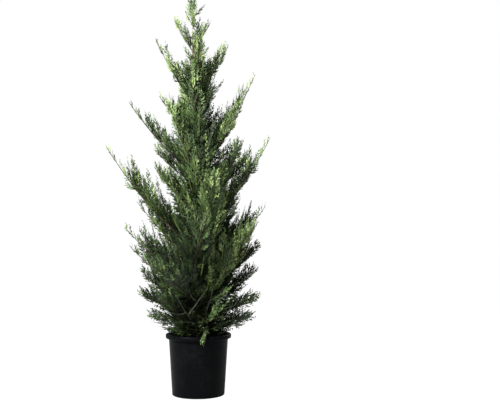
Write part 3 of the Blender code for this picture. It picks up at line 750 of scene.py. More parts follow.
# ------------------------------------------------------------------ the side boughs
# Thin side boughs stand all round each limb and lean along it, longest at the limb's foot.
# Short ones leave the stem itself and hide it. They bend to the light and keep clear of the pot.
SIDE_SPACING = 0.0100
SIDE_ROLLS = (74, -70, 14, -104, 100, -32, 52, -48)
SIDE_LEANS = (34, 20)
SIDE_SIZES = (0.5, 1.05)
SIDES_FROM = 0.05
SIDES_FROM_ON_BOUGH = 0.10
SIDES_TO = 0.86
SIDES_TO_ON_SLENDER = 0.66
SIDES_TO_ON_RIM_LIMB = 0.36
PLUME_AT_TIP = 0.40
TIP_TAPER = 0.30
SLENDER_TAPER = 0.25
TIP_REACH = 0.008
LONGEST_SIDE = 0.12
SHORTEST_SIDE = 0.03
SIDE_TO_TIP = 0.62
SIDE_PAST_TIP = 0.014
ROOT_SHAKE = 0.8
ROLL_SHAKE = 22
FLAT_TWIST = 0.6
PLUME_TWIST = 0.75
NOD = 0.10
chance = np.random.default_rng(23)


class Growth:
    """Many shoots as arrays: root, direction, flat side, length, the limb they keep to, and tone."""

    PARTS = ("root", "ahead", "side", "length", "limb", "tone")

    def __init__(self, root, ahead, side, length, limb, tone):
        self.root, self.ahead, self.side = root, ahead, side
        self.length, self.limb, self.tone = length, limb, tone

    def kept(self, mask):
        return Growth(*(getattr(self, part)[mask] for part in self.PARTS))

    def at(self, share):
        """A point of each one at a share of its length; they bend up toward the light."""
        share = np.broadcast_to(share, self.length.shape)
        along = self.ahead * (self.length * share)[:, None]
        return self.root + along + UP * (NOD * self.length * share**2)[:, None]


def together(parts):
    """Several growths as one, in their order."""
    return Growth(*(np.concatenate([getattr(part, name) for part in parts]) for name in Growth.PARTS))


def squared(vectors, ahead):
    """The part of each vector that is square to a direction."""
    return vectors - ahead * (vectors * ahead).sum(1, keepdims=True)


def rolled(side, ahead, turn):
    """A side direction turned about the length of a shoot."""
    return side * np.cos(turn) + np.cross(ahead, side) * np.sin(turn)


def from_limb(limb, spacing, first, last, rolls, leans, reach):
    """Shoots alternate along a limb and round it, longest by reach where the limb starts."""
    count = max(3, round((last - first) * limb.length / spacing))
    share = first + (last - first) * (np.arange(count) + chance.uniform(0, ROOT_SHAKE, count)) / count
    roll = np.radians(np.resize(rolls, count) + chance.uniform(-ROLL_SHAKE, ROLL_SHAKE, count))[:, None]
    along = limb.along(share)
    level = unit(np.cross(along, UP))
    out = np.cross(level, along) * np.cos(roll) + level * np.sin(roll)
    left = 1 - (share - first) / (1 - first)
    lean = np.radians(leans[1] + (leans[0] - leans[1]) * left)
    length = reach(left) / np.sin(lean)
    ahead = unit(along * np.cos(lean)[:, None] + out * np.sin(lean)[:, None])
    twist = chance.uniform(-FLAT_TWIST, FLAT_TWIST, count)[:, None]
    side = rolled(unit(squared(along, ahead)), ahead, twist)
    return Growth(limb.at(share), ahead, side, length, np.full(count, limb.number), np.zeros(count))


# Slender limbs taper off to single plumes well before their tips, and the one that hangs over
# the pot's rim is nearly bare. Growth is also slimmer toward the top of the tree.
SLENDER_LIMBS = (3, 9, 11, 12, 13, 14, 15, 19, 20, 21, 22, 23, 25, 26)
RIM_LIMB = 3
SLIMMEST = 0.44
SLIMMER_FROM = 1.45
SLIMMER_TO = 1.85


def slimness(limb):
    """How much of the full spread growth has on a limb: less on the highest."""
    return 1 - SLIMMEST * smooth_step(SLIMMER_FROM, SLIMMER_TO, float(limb.at(0.5)[2]))


def side_boughs(limb):
    """The side boughs of one limb, within its own width and not past its tip."""
    slender = limb.number in SLENDER_LIMBS

    def reach(left):
        whole = limb.plume * (PLUME_AT_TIP + (1 - PLUME_AT_TIP) * left) * slimness(limb)
        taper = SLENDER_TAPER if slender else TIP_TAPER
        whole = np.minimum(whole, taper * left * limb.length + TIP_REACH)
        whole = np.minimum(whole * chance.uniform(*SIDE_SIZES, len(left)), LONGEST_SIDE)
        lean = np.radians(SIDE_LEANS[1] + (SIDE_LEANS[0] - SIDE_LEANS[1]) * left)
        return np.minimum(whole, (SIDE_TO_TIP * left * limb.length + SIDE_PAST_TIP) * np.sin(lean))

    first = SIDES_FROM_ON_BOUGH if limb.has_bough else SIDES_FROM
    last = SIDES_TO_ON_SLENDER if slender else SIDES_TO
    last = SIDES_TO_ON_RIM_LIMB if limb.number == RIM_LIMB else last
    return from_limb(limb, SIDE_SPACING, first, last, SIDE_ROLLS, SIDE_LEANS, reach)


# The short side boughs on the stem: crowded low down, sparse at the top. Each rises by an angle
# between the least and the most, in degrees, and both drop toward the crown's foot.
STEM_SIDES_FROM = 0.302
LOW_SIDES_END = 0.56
HIGH_SIDES_START = 1.66
STEM_SIDES_END = 1.83
LOW_SIDE_SPACING = 0.0012
STEM_SIDE_SPACING = 0.0062
HIGH_SIDE_SPACING = 0.0155
STEM_SIDE_REACH = 0.92
STEM_SIDE_SIZES = (0.55, 1.1)
STEM_SIDE_LENGTHS = (0.04, 0.29)
LOW_SIDE_REACH = 0.19
HIGH_SIDE_NARROWING = 0.40
NARROWING_HEIGHTS = (1.55, 1.80)
HIGH_SIDE_EXTRA = 0.035
EXTRA_HEIGHTS = (1.60, 1.85)
LEAST_RISE = 25
LEAST_RISE_DROP = 30
LEAST_RISE_HEIGHTS = (0.32, 0.55)
MOST_RISE = 58
MOST_RISE_DROP = 36
MOST_RISE_HEIGHTS = (0.32, 0.50)
LIMB_ABOVE_FOOT = 0.1
GOLDEN_TURN = 137.5


def stem_sides():
    """Short side boughs straight from the stem, all round it, that hide it in the crown."""
    heights = np.concatenate([
        np.arange(STEM_SIDES_FROM, LOW_SIDES_END, LOW_SIDE_SPACING),
        np.arange(LOW_SIDES_END, HIGH_SIDES_START, STEM_SIDE_SPACING),
        np.arange(HIGH_SIDES_START, STEM_SIDES_END, HIGH_SIDE_SPACING),
    ])
    count = len(heights)
    turn = np.radians(GOLDEN_TURN * np.arange(count))
    out = np.stack([np.cos(turn), np.sin(turn), 0 * turn], 1)
    lowest = LEAST_RISE - LEAST_RISE_DROP * (1 - smooth_step(*LEAST_RISE_HEIGHTS, heights))
    steepest = MOST_RISE - MOST_RISE_DROP * (1 - smooth_step(*MOST_RISE_HEIGHTS, heights))
    rise = np.radians(chance.uniform(lowest, steepest))[:, None]
    ahead = out * np.cos(rise) + UP * np.sin(rise)
    side = unit(UP - ahead * ahead[:, 2:])
    reach = np.array([crown_reach(height) for height in heights])
    reach = np.maximum(reach, LOW_SIDE_REACH * (heights < LOW_SIDES_END))
    reach = reach * (1 - HIGH_SIDE_NARROWING * smooth_step(*NARROWING_HEIGHTS, heights))
    reach = reach + HIGH_SIDE_EXTRA * smooth_step(*EXTRA_HEIGHTS, heights)
    sizes = chance.uniform(*STEM_SIDE_SIZES, count)
    length = np.clip(STEM_SIDE_REACH * reach * sizes, *STEM_SIDE_LENGTHS)
    above = heights[:, None] + LIMB_ABOVE_FOOT
    nearest = np.abs(above - limb_heights[None]).argmin(1) + 1
    return Growth(stem_centre(heights), ahead, side, length, nearest, np.zeros(count))


# Each limb's own measures, by its number; number 0 stands for no limb.
limb_heights = np.array([float(limb.at(0.5)[2]) for limb in limbs])
farthest = np.array([0] + [limb.farthest for limb in limbs])
highest = np.array([0] + [limb.highest for limb in limbs])
feet = np.array([(0, 0, 0)] + [tuple(limb.curve[0]) for limb in limbs])


# Shoots keep clear of the pot, the soil and the floor, and near their limb's reach.
POT_CLEARANCE = 0.012
RIM_HEADROOM = 0.003
SOIL_HEADROOM = 0.004
LOWEST_FOLIAGE = 0.16
LOOSE_REACH = 0.010
LOOSE_TOP = 0.035
SHORTENINGS = 4
SHORTENING = 0.8


def fits(points, limb):
    """Whether points stay within their limb's reach and clear of the pot, the soil and the floor."""
    out = np.hypot(points[:, 0] - feet[limb, 0], points[:, 1] - feet[limb, 1])
    from_pot = np.hypot(points[:, 0], points[:, 1])
    over_pot = from_pot < RIM_RADIUS + POT_CLEARANCE
    over_rim = over_pot & (from_pot > SHOULDER_RADIUS - POT_CLEARANCE)
    soil = np.where(over_pot, COMPOST_LEVEL + SOIL_HEADROOM, LOWEST_FOLIAGE)
    floor = np.where(over_rim, POT_HEIGHT + RIM_HEADROOM, soil)
    near, low = out < farthest[limb] + LOOSE_REACH, points[:, 2] < highest[limb] + LOOSE_TOP
    return near & low & (points[:, 2] > floor)


def shortened(growth, shortest):
    """Shoots that leave their limb's reach made shorter, or dropped where nothing is left."""
    for attempt in range(SHORTENINGS):
        fitting = fits(growth.at(1.0), growth.limb)
        growth.length = np.where(fitting, growth.length, SHORTENING * growth.length)
    return growth.kept(fits(growth.at(1.0), growth.limb) & (growth.length > shortest))


# The pull of the light: none at the foot of the crown, and full about where it is widest.
UPWARD_PULL = 0.42
PULL_FROM = 0.36
PULL_FULL_AT = 0.75


def raised(growth):
    """Turns shoots up toward the light, less near the foot of the crown."""
    pull = UPWARD_PULL * smooth_step(PULL_FROM, PULL_FULL_AT, growth.root[:, 2])[:, None]
    growth.ahead = unit(growth.ahead + UP * pull)
    growth.side = unit(squared(growth.side, growth.ahead))
    return growth


def faced_out(growth):
    """Turns each shoot about its own length so that its flat side looks away from the stem."""
    middle = growth.at(0.5)
    outward = middle - stem_centre(middle[:, 2])
    level = squared(np.cross(outward, UP), growth.ahead)
    weak = np.linalg.norm(level, axis=1, keepdims=True) < 0.01
    level = unit(np.where(weak, growth.side, level))
    twist = chance.normal(0, PLUME_TWIST, len(growth.limb))[:, None]
    growth.side = rolled(level, growth.ahead, twist)


sides = together([side_boughs(limb) for limb in limbs] + [stem_sides()])
sides = shortened(raised(sides), SHORTEST_SIDE)
faced_out(sides)

# Tone goes from 0, the oldest and darkest growth, to 5, this year's palest; its dark end is also painted
# shade. The strongest limbs are paler all along, and so is one side bough in ten above the crown's skirt.
STRONG_LIMBS = {
    7: 0.9, 14: 0.25, 16: 0.4, 21: 0.25, 23: 0.4, 24: 0.3, 25: 0.5, 26: 0.4,
    30: 0.4, 33: 0.4, 34: 0.3, 37: 0.2, 40: 0.5, 41: 0.6,
}
PALE_SHARE = 0.10
PALE_ABOVE = 0.62
STRONG_TONE = 2.2
PALE_TONE = 1.7
SIDE_TONE_SHAKE = 0.5
strength = np.array([0.0] + [STRONG_LIMBS.get(limb.number, 0.0) for limb in limbs])
pale = (chance.uniform(size=len(sides.limb)) < PALE_SHARE) & (sides.root[:, 2] > PALE_ABOVE)
sides.tone = STRONG_TONE * strength[sides.limb] + PALE_TONE * pale
sides.tone += chance.normal(0, SIDE_TONE_SHAKE, len(sides.limb))


# ------------------------------------------------------------------ the plumes
# Flat plumes of foliage alternate on the two sides of each side bough. Others stand on the
# limbs' outer parts and all round the leader, and one slim one ends each limb and side bough.
PLUME_SPACING = 0.0140
PLUME_LEAN = 28
PLUME_LENGTH = 0.070
PLUME_TAPER = 0.55
LAST_PLUME = 0.014
SHORTEST_PLUME = 0.013
PLACE_SHAKE = 0.3
ROLL_SPREAD = 0.16
LEAN_SHAKE = 7.0
SHOOT_SIZES = (0.75, 1.10)


def offspring(parents, spacing, lean, reach, first=0.10, last=0.96):
    """Shoots that alternate on the two sides of each parent, in its plane, and their shares along it."""
    counts = np.maximum(2, np.round(parents.length * (last - first) / spacing)).astype(int)
    parent = np.repeat(np.arange(len(counts)), counts)
    order = np.arange(len(parent)) - np.repeat(np.cumsum(counts) - counts, counts)
    place = order + 0.5 + chance.uniform(-PLACE_SHAKE, PLACE_SHAKE, len(order))
    share = first + (last - first) * place / counts[parent]
    own = parents.kept(parent)
    roll = (math.pi * ((order + parent) % 2) + chance.normal(0, ROLL_SPREAD, len(order)))[:, None]
    out = rolled(own.side, own.ahead, roll)
    angle = np.radians(lean + chance.uniform(-LEAN_SHAKE, LEAN_SHAKE, len(order)))[:, None]
    ahead = unit(own.ahead * np.cos(angle) + out * np.sin(angle))
    side = unit(out * np.cos(angle) - own.ahead * np.sin(angle))
    length = reach(own, share) * chance.uniform(*SHOOT_SIZES, len(order))
    return Growth(own.at(share), ahead, side, length, own.limb, own.tone), share


def plume_reach(bough, share):
    return np.minimum(PLUME_LENGTH, PLUME_TAPER * bough.length * (1 - share) + LAST_PLUME)


# Plumes on the limbs themselves.
UPPER_ROLLS = (8, 52, -48, 26, -22, 84, -80, -6)
UPPER_LEANS = (38, 26)
UPPER_FROM = 0.30
UPPER_TO = 0.97
UPPER_SPACING = 0.0110
UPPER_SPACING_ON_SLENDER = 0.0190
UPPER_SPACING_ON_RIM_LIMB = 0.05
UPPER_REACH_AT_TIP = 0.22
UPPER_REACH_MORE = 0.60
UPPER_SIZES = (0.7, 1.1)
LEADER_PLUME = 0.092
LEADER_SPACING = 0.013
LEADER_ROLLS = (80, -96, 20, 104, -70, 178, -24)
LEADER_LEANS = (66, 44)
LEADER_AT_TIP = 0.25
LEADER_SIZES = (0.6, 1.1)
ON_LIMB_TONE = 0.7


def leader_plumes():
    """Plumes all round the leader, which make the tree's tip."""
    def reach(left):
        whole = LEADER_PLUME * (LEADER_AT_TIP + (1 - LEADER_AT_TIP) * left)
        return whole * chance.uniform(*LEADER_SIZES, len(left))

    return from_limb(leader, LEADER_SPACING, 0.0, UPPER_TO, LEADER_ROLLS, LEADER_LEANS, reach)


def upper_plumes(limb):
    """Plumes that stand on the outer part of a limb itself."""
    def reach(left):
        whole = slimness(limb) * PLUME_LENGTH * (UPPER_REACH_AT_TIP + UPPER_REACH_MORE * left)
        return whole * chance.uniform(*UPPER_SIZES, len(left))

    spacing = UPPER_SPACING_ON_SLENDER if limb.number in SLENDER_LIMBS else UPPER_SPACING
    spacing = UPPER_SPACING_ON_RIM_LIMB if limb.number == RIM_LIMB else spacing
    return from_limb(limb, spacing, UPPER_FROM, UPPER_TO, UPPER_ROLLS, UPPER_LEANS, reach)


# The slim plumes that end the limbs and the side boughs.
END_SHOOT = 0.10
END_SHOOT_SHARE = 0.4
END_SHOOT_TURN = -0.5
SIDE_END_FROM = 0.70
SIDE_END_SHARE = 0.36
SIDE_END_MORE = 0.024


def one_shoot(root, tip, length, facing, turn, limb, tone):
    """One shoot toward a tip, its flat side turned by an angle from square to facing."""
    ahead = unit(tip - root - UP * (NOD * length))
    level = unit(np.cross(ahead, facing))
    side = level * math.cos(turn) + np.cross(ahead, level) * math.sin(turn)
    return Growth(root[None], ahead[None], side[None], np.array([length]), np.array([limb]),
                  np.array([tone]))


def end_shoot(limb):
    """The limb's own tip, as one slim plume that goes straight on."""
    length = min(END_SHOOT, END_SHOOT_SHARE * limb.length)
    tone = STRONG_TONE * strength[limb.number] + ON_LIMB_TONE
    root, tip = limb.at(1 - length / limb.length), limb.at(1.0)
    return one_shoot(root, tip, length, UP, END_SHOOT_TURN, limb.number, tone)


# How fresh a plume is, with painted shade: pale toward the outside and the top of the crown, old and
# dark near the stem and low down, where the dark also stands in for the shade inside the crown.
TONE_AT_STEM = 0.3
TONE_OUTWARD = 1.9
OUTERMOST = 1.1
TONE_UPWARD = 1.3
TONE_UPWARD_FROM = 0.3
TONE_UPWARD_TO = 1.15
TONE_LOW_DOWN = 0.86
TONE_SPREAD = 0.85
reach_heights = np.linspace(0, CROWN_TOP, 200)
reach_table = np.array([crown_reach(height) for height in reach_heights])


def aged_and_shaded(growth):
    """Adds to each shoot's tone by where its tip stands in the crown, with chance differences: paler for
    fresh outer growth, and darker inward and low down, partly as painted shade.
    """
    tips = growth.at(1.0)
    middles = stem_centre(tips[:, 2])
    outwardness = np.hypot(tips[:, 0] - middles[:, 0], tips[:, 1] - middles[:, 1])
    outwardness /= np.interp(tips[:, 2], reach_heights, reach_table)
    # Painted shade, besides real age: the tone drops toward the stem and toward the crown's foot.
    growth.tone = growth.tone + TONE_AT_STEM + TONE_OUTWARD * np.clip(outwardness, 0, OUTERMOST)
    growth.tone = growth.tone + chance.normal(0, TONE_SPREAD, len(tips))
    height_share = smooth_step(TONE_UPWARD_FROM, TONE_UPWARD_TO, tips[:, 2])
    growth.tone += TONE_UPWARD * height_share - TONE_LOW_DOWN


on_sides = offspring(sides, PLUME_SPACING, PLUME_LEAN, plume_reach, first=0.08, last=0.94)[0]
side_ends = Growth(
    sides.at(SIDE_END_FROM), unit(sides.at(1.0) - sides.at(SIDE_END_FROM)), sides.side,
    SIDE_END_SHARE * sides.length + SIDE_END_MORE, sides.limb, sides.tone,
)
on_limbs = raised(together([upper_plumes(limb) for limb in limbs[:-1]] + [leader_plumes()]))
faced_out(on_limbs)
on_limbs.tone = STRONG_TONE * strength[on_limbs.limb] + ON_LIMB_TONE
end_shoots = together([end_shoot(limb) for limb in limbs] + [side_ends])
plumes = shortened(together([on_sides, on_limbs]), SHORTEST_PLUME)
aged_and_shaded(plumes)
aged_and_shaded(end_shoots)


# ------------------------------------------------------------------ the young shoots
# A few single pale shoots of this year's growth stand free in the crown's front: one hangs over
# the pot's rim, two stand low at the right, and the others are upright streaks higher up.

# The limb whose reach each keeps to, the limb it springs from and where along that, its tip,
# half its width, and its tone.
YOUNG_SHOOTS = (
    (3, 3, 0.66, (0.010, -0.232, 0.282), 0.027, 3.3),
    (7, 3, 0.55, (0.098, -0.236, 0.500), 0.020, 3.3),
    (7, 3, 0.48, (0.180, -0.250, 0.540), 0.008, 3.3),
    (7, 8, 0.22, (0.050, -0.290, 0.717), 0.011, 3.9),
    (12, 12, 0.12, (0.100, -0.275, 0.967), 0.012, 4.1),
    (15, 15, 0.18, (-0.004, -0.265, 1.154), 0.012, 4.2),
    (21, 17, 0.20, (0.034, -0.225, 1.336), 0.012, 4.2),
    (24, 23, 0.10, (-0.030, -0.135, 1.737), 0.011, 4.0),
)
YOUNG_FACING = (0.0, -1.0, 0.25)
YOUNG_TURNS = (-0.5, 0.9)
YOUNG_SPACING = 0.0150

# Each is two plumes that cross, so that it is full from every side.
young_shoots, young_widths = [], []
for keeps_to, springs_from, share, tip, half_width, tone in YOUNG_SHOOTS:
    root = limbs[springs_from - 1].at(share)
    length = np.linalg.norm(tip - root)
    for turn in YOUNG_TURNS:
        young_shoots.append(one_shoot(root, tip, length, YOUNG_FACING, turn, keeps_to, tone))
        young_widths.append(half_width)


# ------------------------------------------------------------------ the twigs and their scale leaves
# Twigs alternate on the two sides of a plume, and sprigs of scale leaves on each twig. A twig is
# a ridged blade of six faces, a sprig a folded blade of two, with the waxy sheen of scale leaves.
TWIG_SPACING = 0.0102
TWIG_LEAN = 21
TWIG_LEAST = 0.004
FROND_WIDTH = 0.30
WIDEST_FROND = 0.0105
END_SHOOT_WIDTH = 0.0085
FROND_FULL_AT = 0.30
FROND_SWELLING = 0.6
FROND_NARROWING = 0.85
TWIG_TONE_TO_TIP = 0.8
TWIG_TONE_AT_ROOT = -0.1
TWIG_TONE_SPREAD = 0.30
SPRIG_SPACING = 0.0066
SPRIG_LEAN = 24
SPRIG_TAPER = 0.40
SPRIG_LEAST = 0.0055
LONGEST_SPRIG = 0.017

# The points of each blade are shares of its length and width, and its ridge up or down.
TWIG_BLADE = np.array([(0, 0, 0), (0.28, 0.5, 0), (0.72, 0.36, 0), (1, 0, 0), (0.72, -0.36, 0),
                       (0.28, -0.5, 0), (0.45, 0, 1)], float)
TWIG_FACES = np.array([(corner, 6, (corner + 1) % 6) for corner in range(6)])
TWIG_WIDTHS = (0.0034, 0.0080)
TWIG_BROADNESS = 0.34
SPRIG_BLADE = np.array([(0, 0, 0), (0.36, 0.5, -1), (1, 0, 0), (0.36, -0.5, -1)], float)
SPRIG_FACES = np.array([(0, 2, 1), (0, 3, 2)])
SPRIG_WIDTHS = (0.0022, 0.0066)
SPRIG_BROADNESS = 0.52
BLADE_DEPTH = 0.0008

# Base colours by tone, and the heights of the crown that one piece each is made for.
# The darkest tones are partly old growth and partly painted shade, deep inside and low in the crown.
TONE_COLOURS = (
    ("oldest", (0.0060, 0.0120, 0.0050)),
    ("old", (0.0100, 0.0210, 0.0075)),
    ("dark", (0.0250, 0.0480, 0.0160)),
    ("grown", (0.0600, 0.1100, 0.0310)),
    ("fresh", (0.1350, 0.2050, 0.0660)),
    ("young", (0.2700, 0.3650, 0.1300)),
)
FOLIAGE_MIDDLE = 0.6
ZONES = (("skirt", 0.0, 0.62), ("body", 0.62, 0.92), ("shoulder", 0.92, 1.32), ("spire", 1.32, 3.0))


def plume_width(share):
    """Half the width of a plume at a share of its length, of its widest."""
    share = np.clip(share, 0, 1)
    swelling = (share / FROND_FULL_AT) ** FROND_SWELLING
    narrowing = ((1 - share) / (1 - FROND_FULL_AT)) ** FROND_NARROWING
    return np.minimum(swelling, narrowing)


def twigs_of(growth, widest, spacing=TWIG_SPACING):
    """The twigs on the two sides of plumes that are at most so wide to each side, paler to the tip."""
    def reach(own, share):
        half_width = np.minimum(0.5 * FROND_WIDTH * own.length, widest) * plume_width(share)
        return half_width / math.sin(math.radians(TWIG_LEAN)) + TWIG_LEAST

    found, share = offspring(growth, spacing, TWIG_LEAN, reach)
    found.tone = found.tone + TWIG_TONE_TO_TIP * share + TWIG_TONE_AT_ROOT
    found.tone = found.tone + chance.normal(0, TWIG_TONE_SPREAD, len(share))
    return found


def sprig_reach(twig, share):
    return np.minimum(SPRIG_TAPER * twig.length * (1 - share) + SPRIG_LEAST, LONGEST_SPRIG)


def blades(growth, shape, width, lift):
    """The points of one blade of a shape for each shoot."""
    normal = np.cross(growth.ahead, growth.side)
    points = growth.root[:, None] + growth.ahead[:, None] * (growth.length[:, None] * shape[:, 0])[..., None]
    points += growth.side[:, None] * (width[:, None] * shape[:, 1])[..., None]
    points += normal[:, None] * (BLADE_DEPTH * shape[:, 2])[None, :, None]
    points += UP * (lift * growth.length[:, None] * shape[:, 0] ** 2)[..., None]
    return points


def plain_finish(name, colour, roughness, specular):
    """A material of one colour, set on its shader."""
    made, shader = finish(name, roughness, specular)
    shader.inputs["Base Color"].default_value = (*colour, 1)
    return made


def leaf_mesh(name, parts, leaf):
    """Blades of several kinds joined as triangles: each part is an array of points and its faces."""
    points, faces, start = [], [], 0
    for made, template in parts:
        points.append(made.reshape(-1, 3))
        faces.append(repeated(template, len(made)) + start)
        start += len(points[-1])
    return joined_mesh(name, np.concatenate(points), np.concatenate(faces), leaf)


twig_groups = [twigs_of(plumes, WIDEST_FROND), twigs_of(end_shoots, END_SHOOT_WIDTH)]
for shoot, half_width in zip(young_shoots, young_widths):
    twig_groups.append(twigs_of(shoot, half_width, YOUNG_SPACING))
twigs = together(twig_groups)
twigs = twigs.kept(fits(twigs.at(1.0), twigs.limb))
twigs.tone = np.clip(np.round(twigs.tone), 0, len(TONE_COLOURS) - 1)
sprigs = offspring(twigs, SPRIG_SPACING, SPRIG_LEAN, sprig_reach, first=0.06, last=0.98)[0]
sprig_points = blades(sprigs, SPRIG_BLADE, np.clip(SPRIG_BROADNESS * sprigs.length, *SPRIG_WIDTHS), 0.0)
twig_points = blades(twigs, TWIG_BLADE, np.clip(TWIG_BROADNESS * twigs.length, *TWIG_WIDTHS), NOD)

# The blades are dealt out to one piece for each height of the crown and each tone.
limb_middle = np.array([0.0] + [float(limb.at(FOLIAGE_MIDDLE)[2]) for limb in limbs])
kinds = ((sprigs, sprig_points, SPRIG_FACES), (twigs, twig_points, TWIG_FACES))
for tone, (tone_name, colour) in enumerate(TONE_COLOURS):
    leaf = plain_finish(f"scale_leaves_{tone_name}", colour, roughness=0.48, specular=0.45)
    for zone, low, high in ZONES:
        in_zone = (limb_middle >= low) & (limb_middle < high)
        chosen = [(points[(growth.tone == tone) & in_zone[growth.limb]], faces)
                  for growth, points, faces in kinds]
        if not sum(len(points) for points, faces in chosen):
            continue
        piece = leaf_mesh(f"sprays_{zone}_{tone_name}", chosen, leaf)
        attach(piece, "root")
        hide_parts(*[f"foliage_{limb.number:02d}" for limb in limbs if in_zone[limb.number]])


# ------------------------------------------------------------------ the side boughs' and plumes' wood
# A side bough is a thin three-sided tube, brown where it is old and green where it is fresh.
# The green stem of a plume or a young shoot is a ridged blade like a twig's.
STEM_TUBE_SIDES = 3
STEM_TUBE_RINGS = 3
STEM_TUBE_END = 0.9
STEM_TUBE_TAPER = 0.75
GREEN_WOOD_FROM = 0.75
GREEN_WOOD_ABOVE = 0.9
GREENER_HIGH_UP = 0.5
OLD_WOOD_GIRTH = (0.0008, 0.009)
GREEN_WOOD_GIRTH = (0.0010, 0.011)
PLUME_STEM_WIDTH = (0.0016, 0.030)
OLD_WOOD = (0.042, 0.036, 0.020)
GREEN_WOOD = (0.190, 0.235, 0.060)
PLUME_STEM_GREEN = (0.075, 0.115, 0.032)


def stem_tubes(name, growth, girth, made):
    """One tapering tube for each shoot, joined, as thick as girth says: at least, and more by length."""
    radii = girth[0] + girth[1] * growth.length
    shares = np.linspace(0, STEM_TUBE_END, STEM_TUBE_RINGS)
    centres = np.stack([growth.at(share) for share in shares], 1)
    radii = radii[:, None] * (1 - STEM_TUBE_TAPER * shares)
    axes = np.repeat(growth.ahead[:, None], STEM_TUBE_RINGS, 1)
    points = tube_points(centres, radii, axes, STEM_TUBE_SIDES).reshape(len(radii), -1, 3)
    points = np.concatenate([points, growth.at(1.0)[:, None]], 1).reshape(-1, 3)
    faces = repeated(tube_template(STEM_TUBE_RINGS, STEM_TUBE_SIDES), len(radii))
    return joined_mesh(name, points, faces, made)


freshness = sides.tone + GREENER_HIGH_UP * (sides.root[:, 2] > GREEN_WOOD_ABOVE)
old_bark = plain_finish("side_bough_bark", OLD_WOOD, roughness=0.75, specular=0.35)
old_sides = sides.kept(freshness <= GREEN_WOOD_FROM)
side_bough_wood = stem_tubes("side_bough_wood", old_sides, OLD_WOOD_GIRTH, old_bark)
green_bark = plain_finish("green_side_bough_bark", GREEN_WOOD, roughness=0.55, specular=0.45)
green_sides = sides.kept(freshness > GREEN_WOOD_FROM)
green_side_boughs = stem_tubes("green_side_boughs", green_sides, GREEN_WOOD_GIRTH, green_bark)

young_bark = plain_finish("young_bark", PLUME_STEM_GREEN, roughness=0.6, specular=0.4)
stalks = together([plumes] + young_shoots)
least_width, width_by_length = PLUME_STEM_WIDTH
stalk_widths = least_width + width_by_length * np.minimum(stalks.length, PLUME_LENGTH)
plume_stems = joined_mesh(
    "plume_stems",
    blades(stalks, TWIG_BLADE, stalk_widths, NOD).reshape(-1, 3),
    repeated(TWIG_FACES, len(stalks.limb)),
    young_bark,
)
for piece in (side_bough_wood, green_side_boughs, plume_stems):
    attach(piece, "root")


# ------------------------------------------------------------------ the dead twigs
# A few bare grey side boughs low in the front, dead for want of light, that cross each other.
# Each is one thin tapering tube; the small ones fork from the long one.

# Root, the middle of its bend, tip, and radius at the root.
DEAD_TWIGS = (
    ((0.0, 0.0, 0.352), (-0.040, -0.150, 0.380), (-0.114, -0.240, 0.535), 0.0032),
    ((-0.052, -0.170, 0.425), (0.000, -0.215, 0.500), (0.044, -0.240, 0.566), 0.0022),
    ((-0.012, -0.216, 0.500), (-0.040, -0.235, 0.515), (-0.044, -0.240, 0.552), 0.0015),
    ((-0.060, -0.180, 0.440), (-0.090, -0.215, 0.425), (-0.142, -0.240, 0.445), 0.0018),
    ((-0.020, -0.100, 0.378), (-0.070, -0.170, 0.395), (-0.125, -0.225, 0.392), 0.0020),
    ((0.0, 0.0, 0.372), (0.050, -0.150, 0.440), (0.070, -0.235, 0.560), 0.0024),
)
DEAD_RINGS = 9
DEAD_SIDES = 8
DEAD_SHRINKING = 0.75
DEAD_TAPER = 0.65
DEAD_POINT = 0.004
DEAD_KINK = 0.0022
DEAD_KINK_WAVES = 31
DEAD_KINK_SHIFT = 60
DEAD_KINK_AXES = np.array((1, 0.5, -1))
DEAD_GREY = (0.095, 0.105, 0.080)

shares = np.linspace(0, 1, DEAD_RINGS)[:, None]
dead_points = []
for root, bend, tip, radius in DEAD_TWIGS:
    root, bend, tip = (np.array(point) for point in (root, bend, tip))
    line = root * (1 - shares) ** 2 + bend * 2 * shares * (1 - shares) + tip * shares**2
    kink = np.sin(DEAD_KINK_WAVES * shares + DEAD_KINK_SHIFT * tip[0])
    line = line + DEAD_KINK * kink * DEAD_KINK_AXES * shares
    axes = unit(np.gradient(line, axis=0))
    radii = DEAD_SHRINKING * radius * (1 - DEAD_TAPER * shares[:, 0])
    points = tube_points(line[None], radii[None], axes[None], DEAD_SIDES).reshape(-1, 3)
    dead_points.append(np.concatenate([points, line[-1:] + DEAD_POINT * axes[-1:]]))
dead = joined_mesh(
    "dead_twigs",
    np.concatenate(dead_points),
    repeated(tube_template(DEAD_RINGS, DEAD_SIDES), len(dead_points)),
    plain_finish("dead_grey_bark", DEAD_GREY, roughness=0.8, specular=0.3),
)
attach(dead, "root")


# ------------------------------------------------------------------ the floor, light and camera
# A pale floor that looks white to the camera, under a white sky, with a soft lamp high at the
# front left and a larger, weaker one at the back right. The sky lights the plant dimly.
FLOOR_RADIUS = 60
FLOOR_GREY = (0.40, 0.40, 0.40)
FLOOR_GLOW = 1.16
FLOOR_GLOW_SHARE = 0.86
SKY_LIGHT = 0.22
SKY_SEEN = 1.0
LIT_POINT = (0, 0, 1.0)

# The camera looks a little up and to the right, by these angles in radians.
CAMERA_PLACE = (0, -4.218, 0.835)
CAMERA_UP = 0.0410
CAMERA_RIGHT = 0.0635
LENS = 57.9
SENSOR_WIDTH = 36

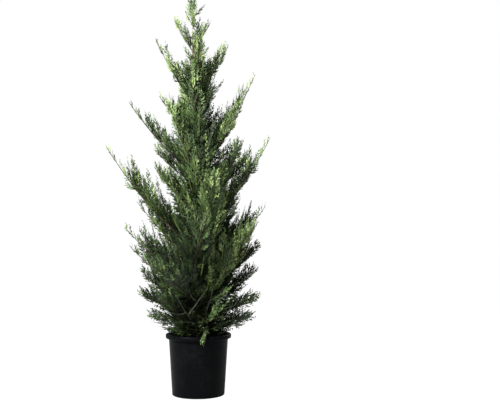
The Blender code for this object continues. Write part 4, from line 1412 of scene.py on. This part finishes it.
nothing_selected()
bpy.ops.mesh.primitive_circle_add(vertices=64, radius=FLOOR_RADIUS, fill_type="NGON", location=(0, 0, 0))
floor = bpy.context.object
floor.name = "studio_floor"
paper, shader = finish("white_floor", roughness=0.9, specular=0.1)
shader.inputs["Base Color"].default_value = (*FLOOR_GREY, 1)
nodes, link = paper.node_tree.nodes, paper.node_tree.links.new
glow, by_camera = nodes.new("ShaderNodeEmission"), nodes.new("ShaderNodeLightPath")
glow.inputs["Strength"].default_value = FLOOR_GLOW
glow_share = nodes.new("ShaderNodeMath")
glow_share.operation = "MULTIPLY"
glow_share.inputs[1].default_value = FLOOR_GLOW_SHARE
lit_and_glowing = nodes.new("ShaderNodeMixShader")
link(by_camera.outputs["Is Camera Ray"], glow_share.inputs[0])
link(glow_share.outputs[0], lit_and_glowing.inputs["Fac"])
link(shader.outputs["BSDF"], lit_and_glowing.inputs[1])
link(glow.outputs["Emission"], lit_and_glowing.inputs[2])
link(lit_and_glowing.outputs["Shader"], nodes["Material Output"].inputs["Surface"])
floor.data.materials.append(paper)

studio = bpy.data.worlds.new("studio")
bpy.context.scene.world = studio
studio.use_nodes = True
nodes, link = studio.node_tree.nodes, studio.node_tree.links.new
sky = nodes["Background"]
sky.inputs["Color"].default_value = (1, 1, 1, 1)
by_camera, sky_strength = nodes.new("ShaderNodeLightPath"), nodes.new("ShaderNodeMapRange")
sky_strength.inputs["To Min"].default_value = SKY_LIGHT
sky_strength.inputs["To Max"].default_value = SKY_SEEN
link(by_camera.outputs["Is Camera Ray"], sky_strength.inputs["Value"])
link(sky_strength.outputs["Result"], sky.inputs["Strength"])
bpy.context.scene.view_settings.view_transform = "Standard"


def softbox(name, place, size, power):
    """A square lamp that faces the middle of the plant."""
    bpy.ops.object.light_add(type="AREA", location=place)
    lamp = bpy.context.object
    lamp.name = name
    lamp.data.size = size
    lamp.data.energy = power
    toward = Vector(LIT_POINT) - Vector(place)
    lamp.rotation_euler = toward.to_track_quat("-Z", "Y").to_euler()


softbox("key_softbox", place=(-2.4, -2.4, 3.2), size=0.9, power=450)
softbox("back_softbox", place=(2.8, 2.9, 2.6), size=1.6, power=260)

camera = bpy.data.objects.new("camera", bpy.data.cameras.new("camera"))
bpy.context.scene.collection.objects.link(camera)
camera.data.lens = LENS
camera.data.sensor_width = SENSOR_WIDTH
camera.location = CAMERA_PLACE
camera.rotation_euler = (math.radians(90) + CAMERA_UP, 0, -CAMERA_RIGHT)
bpy.context.scene.camera = camera
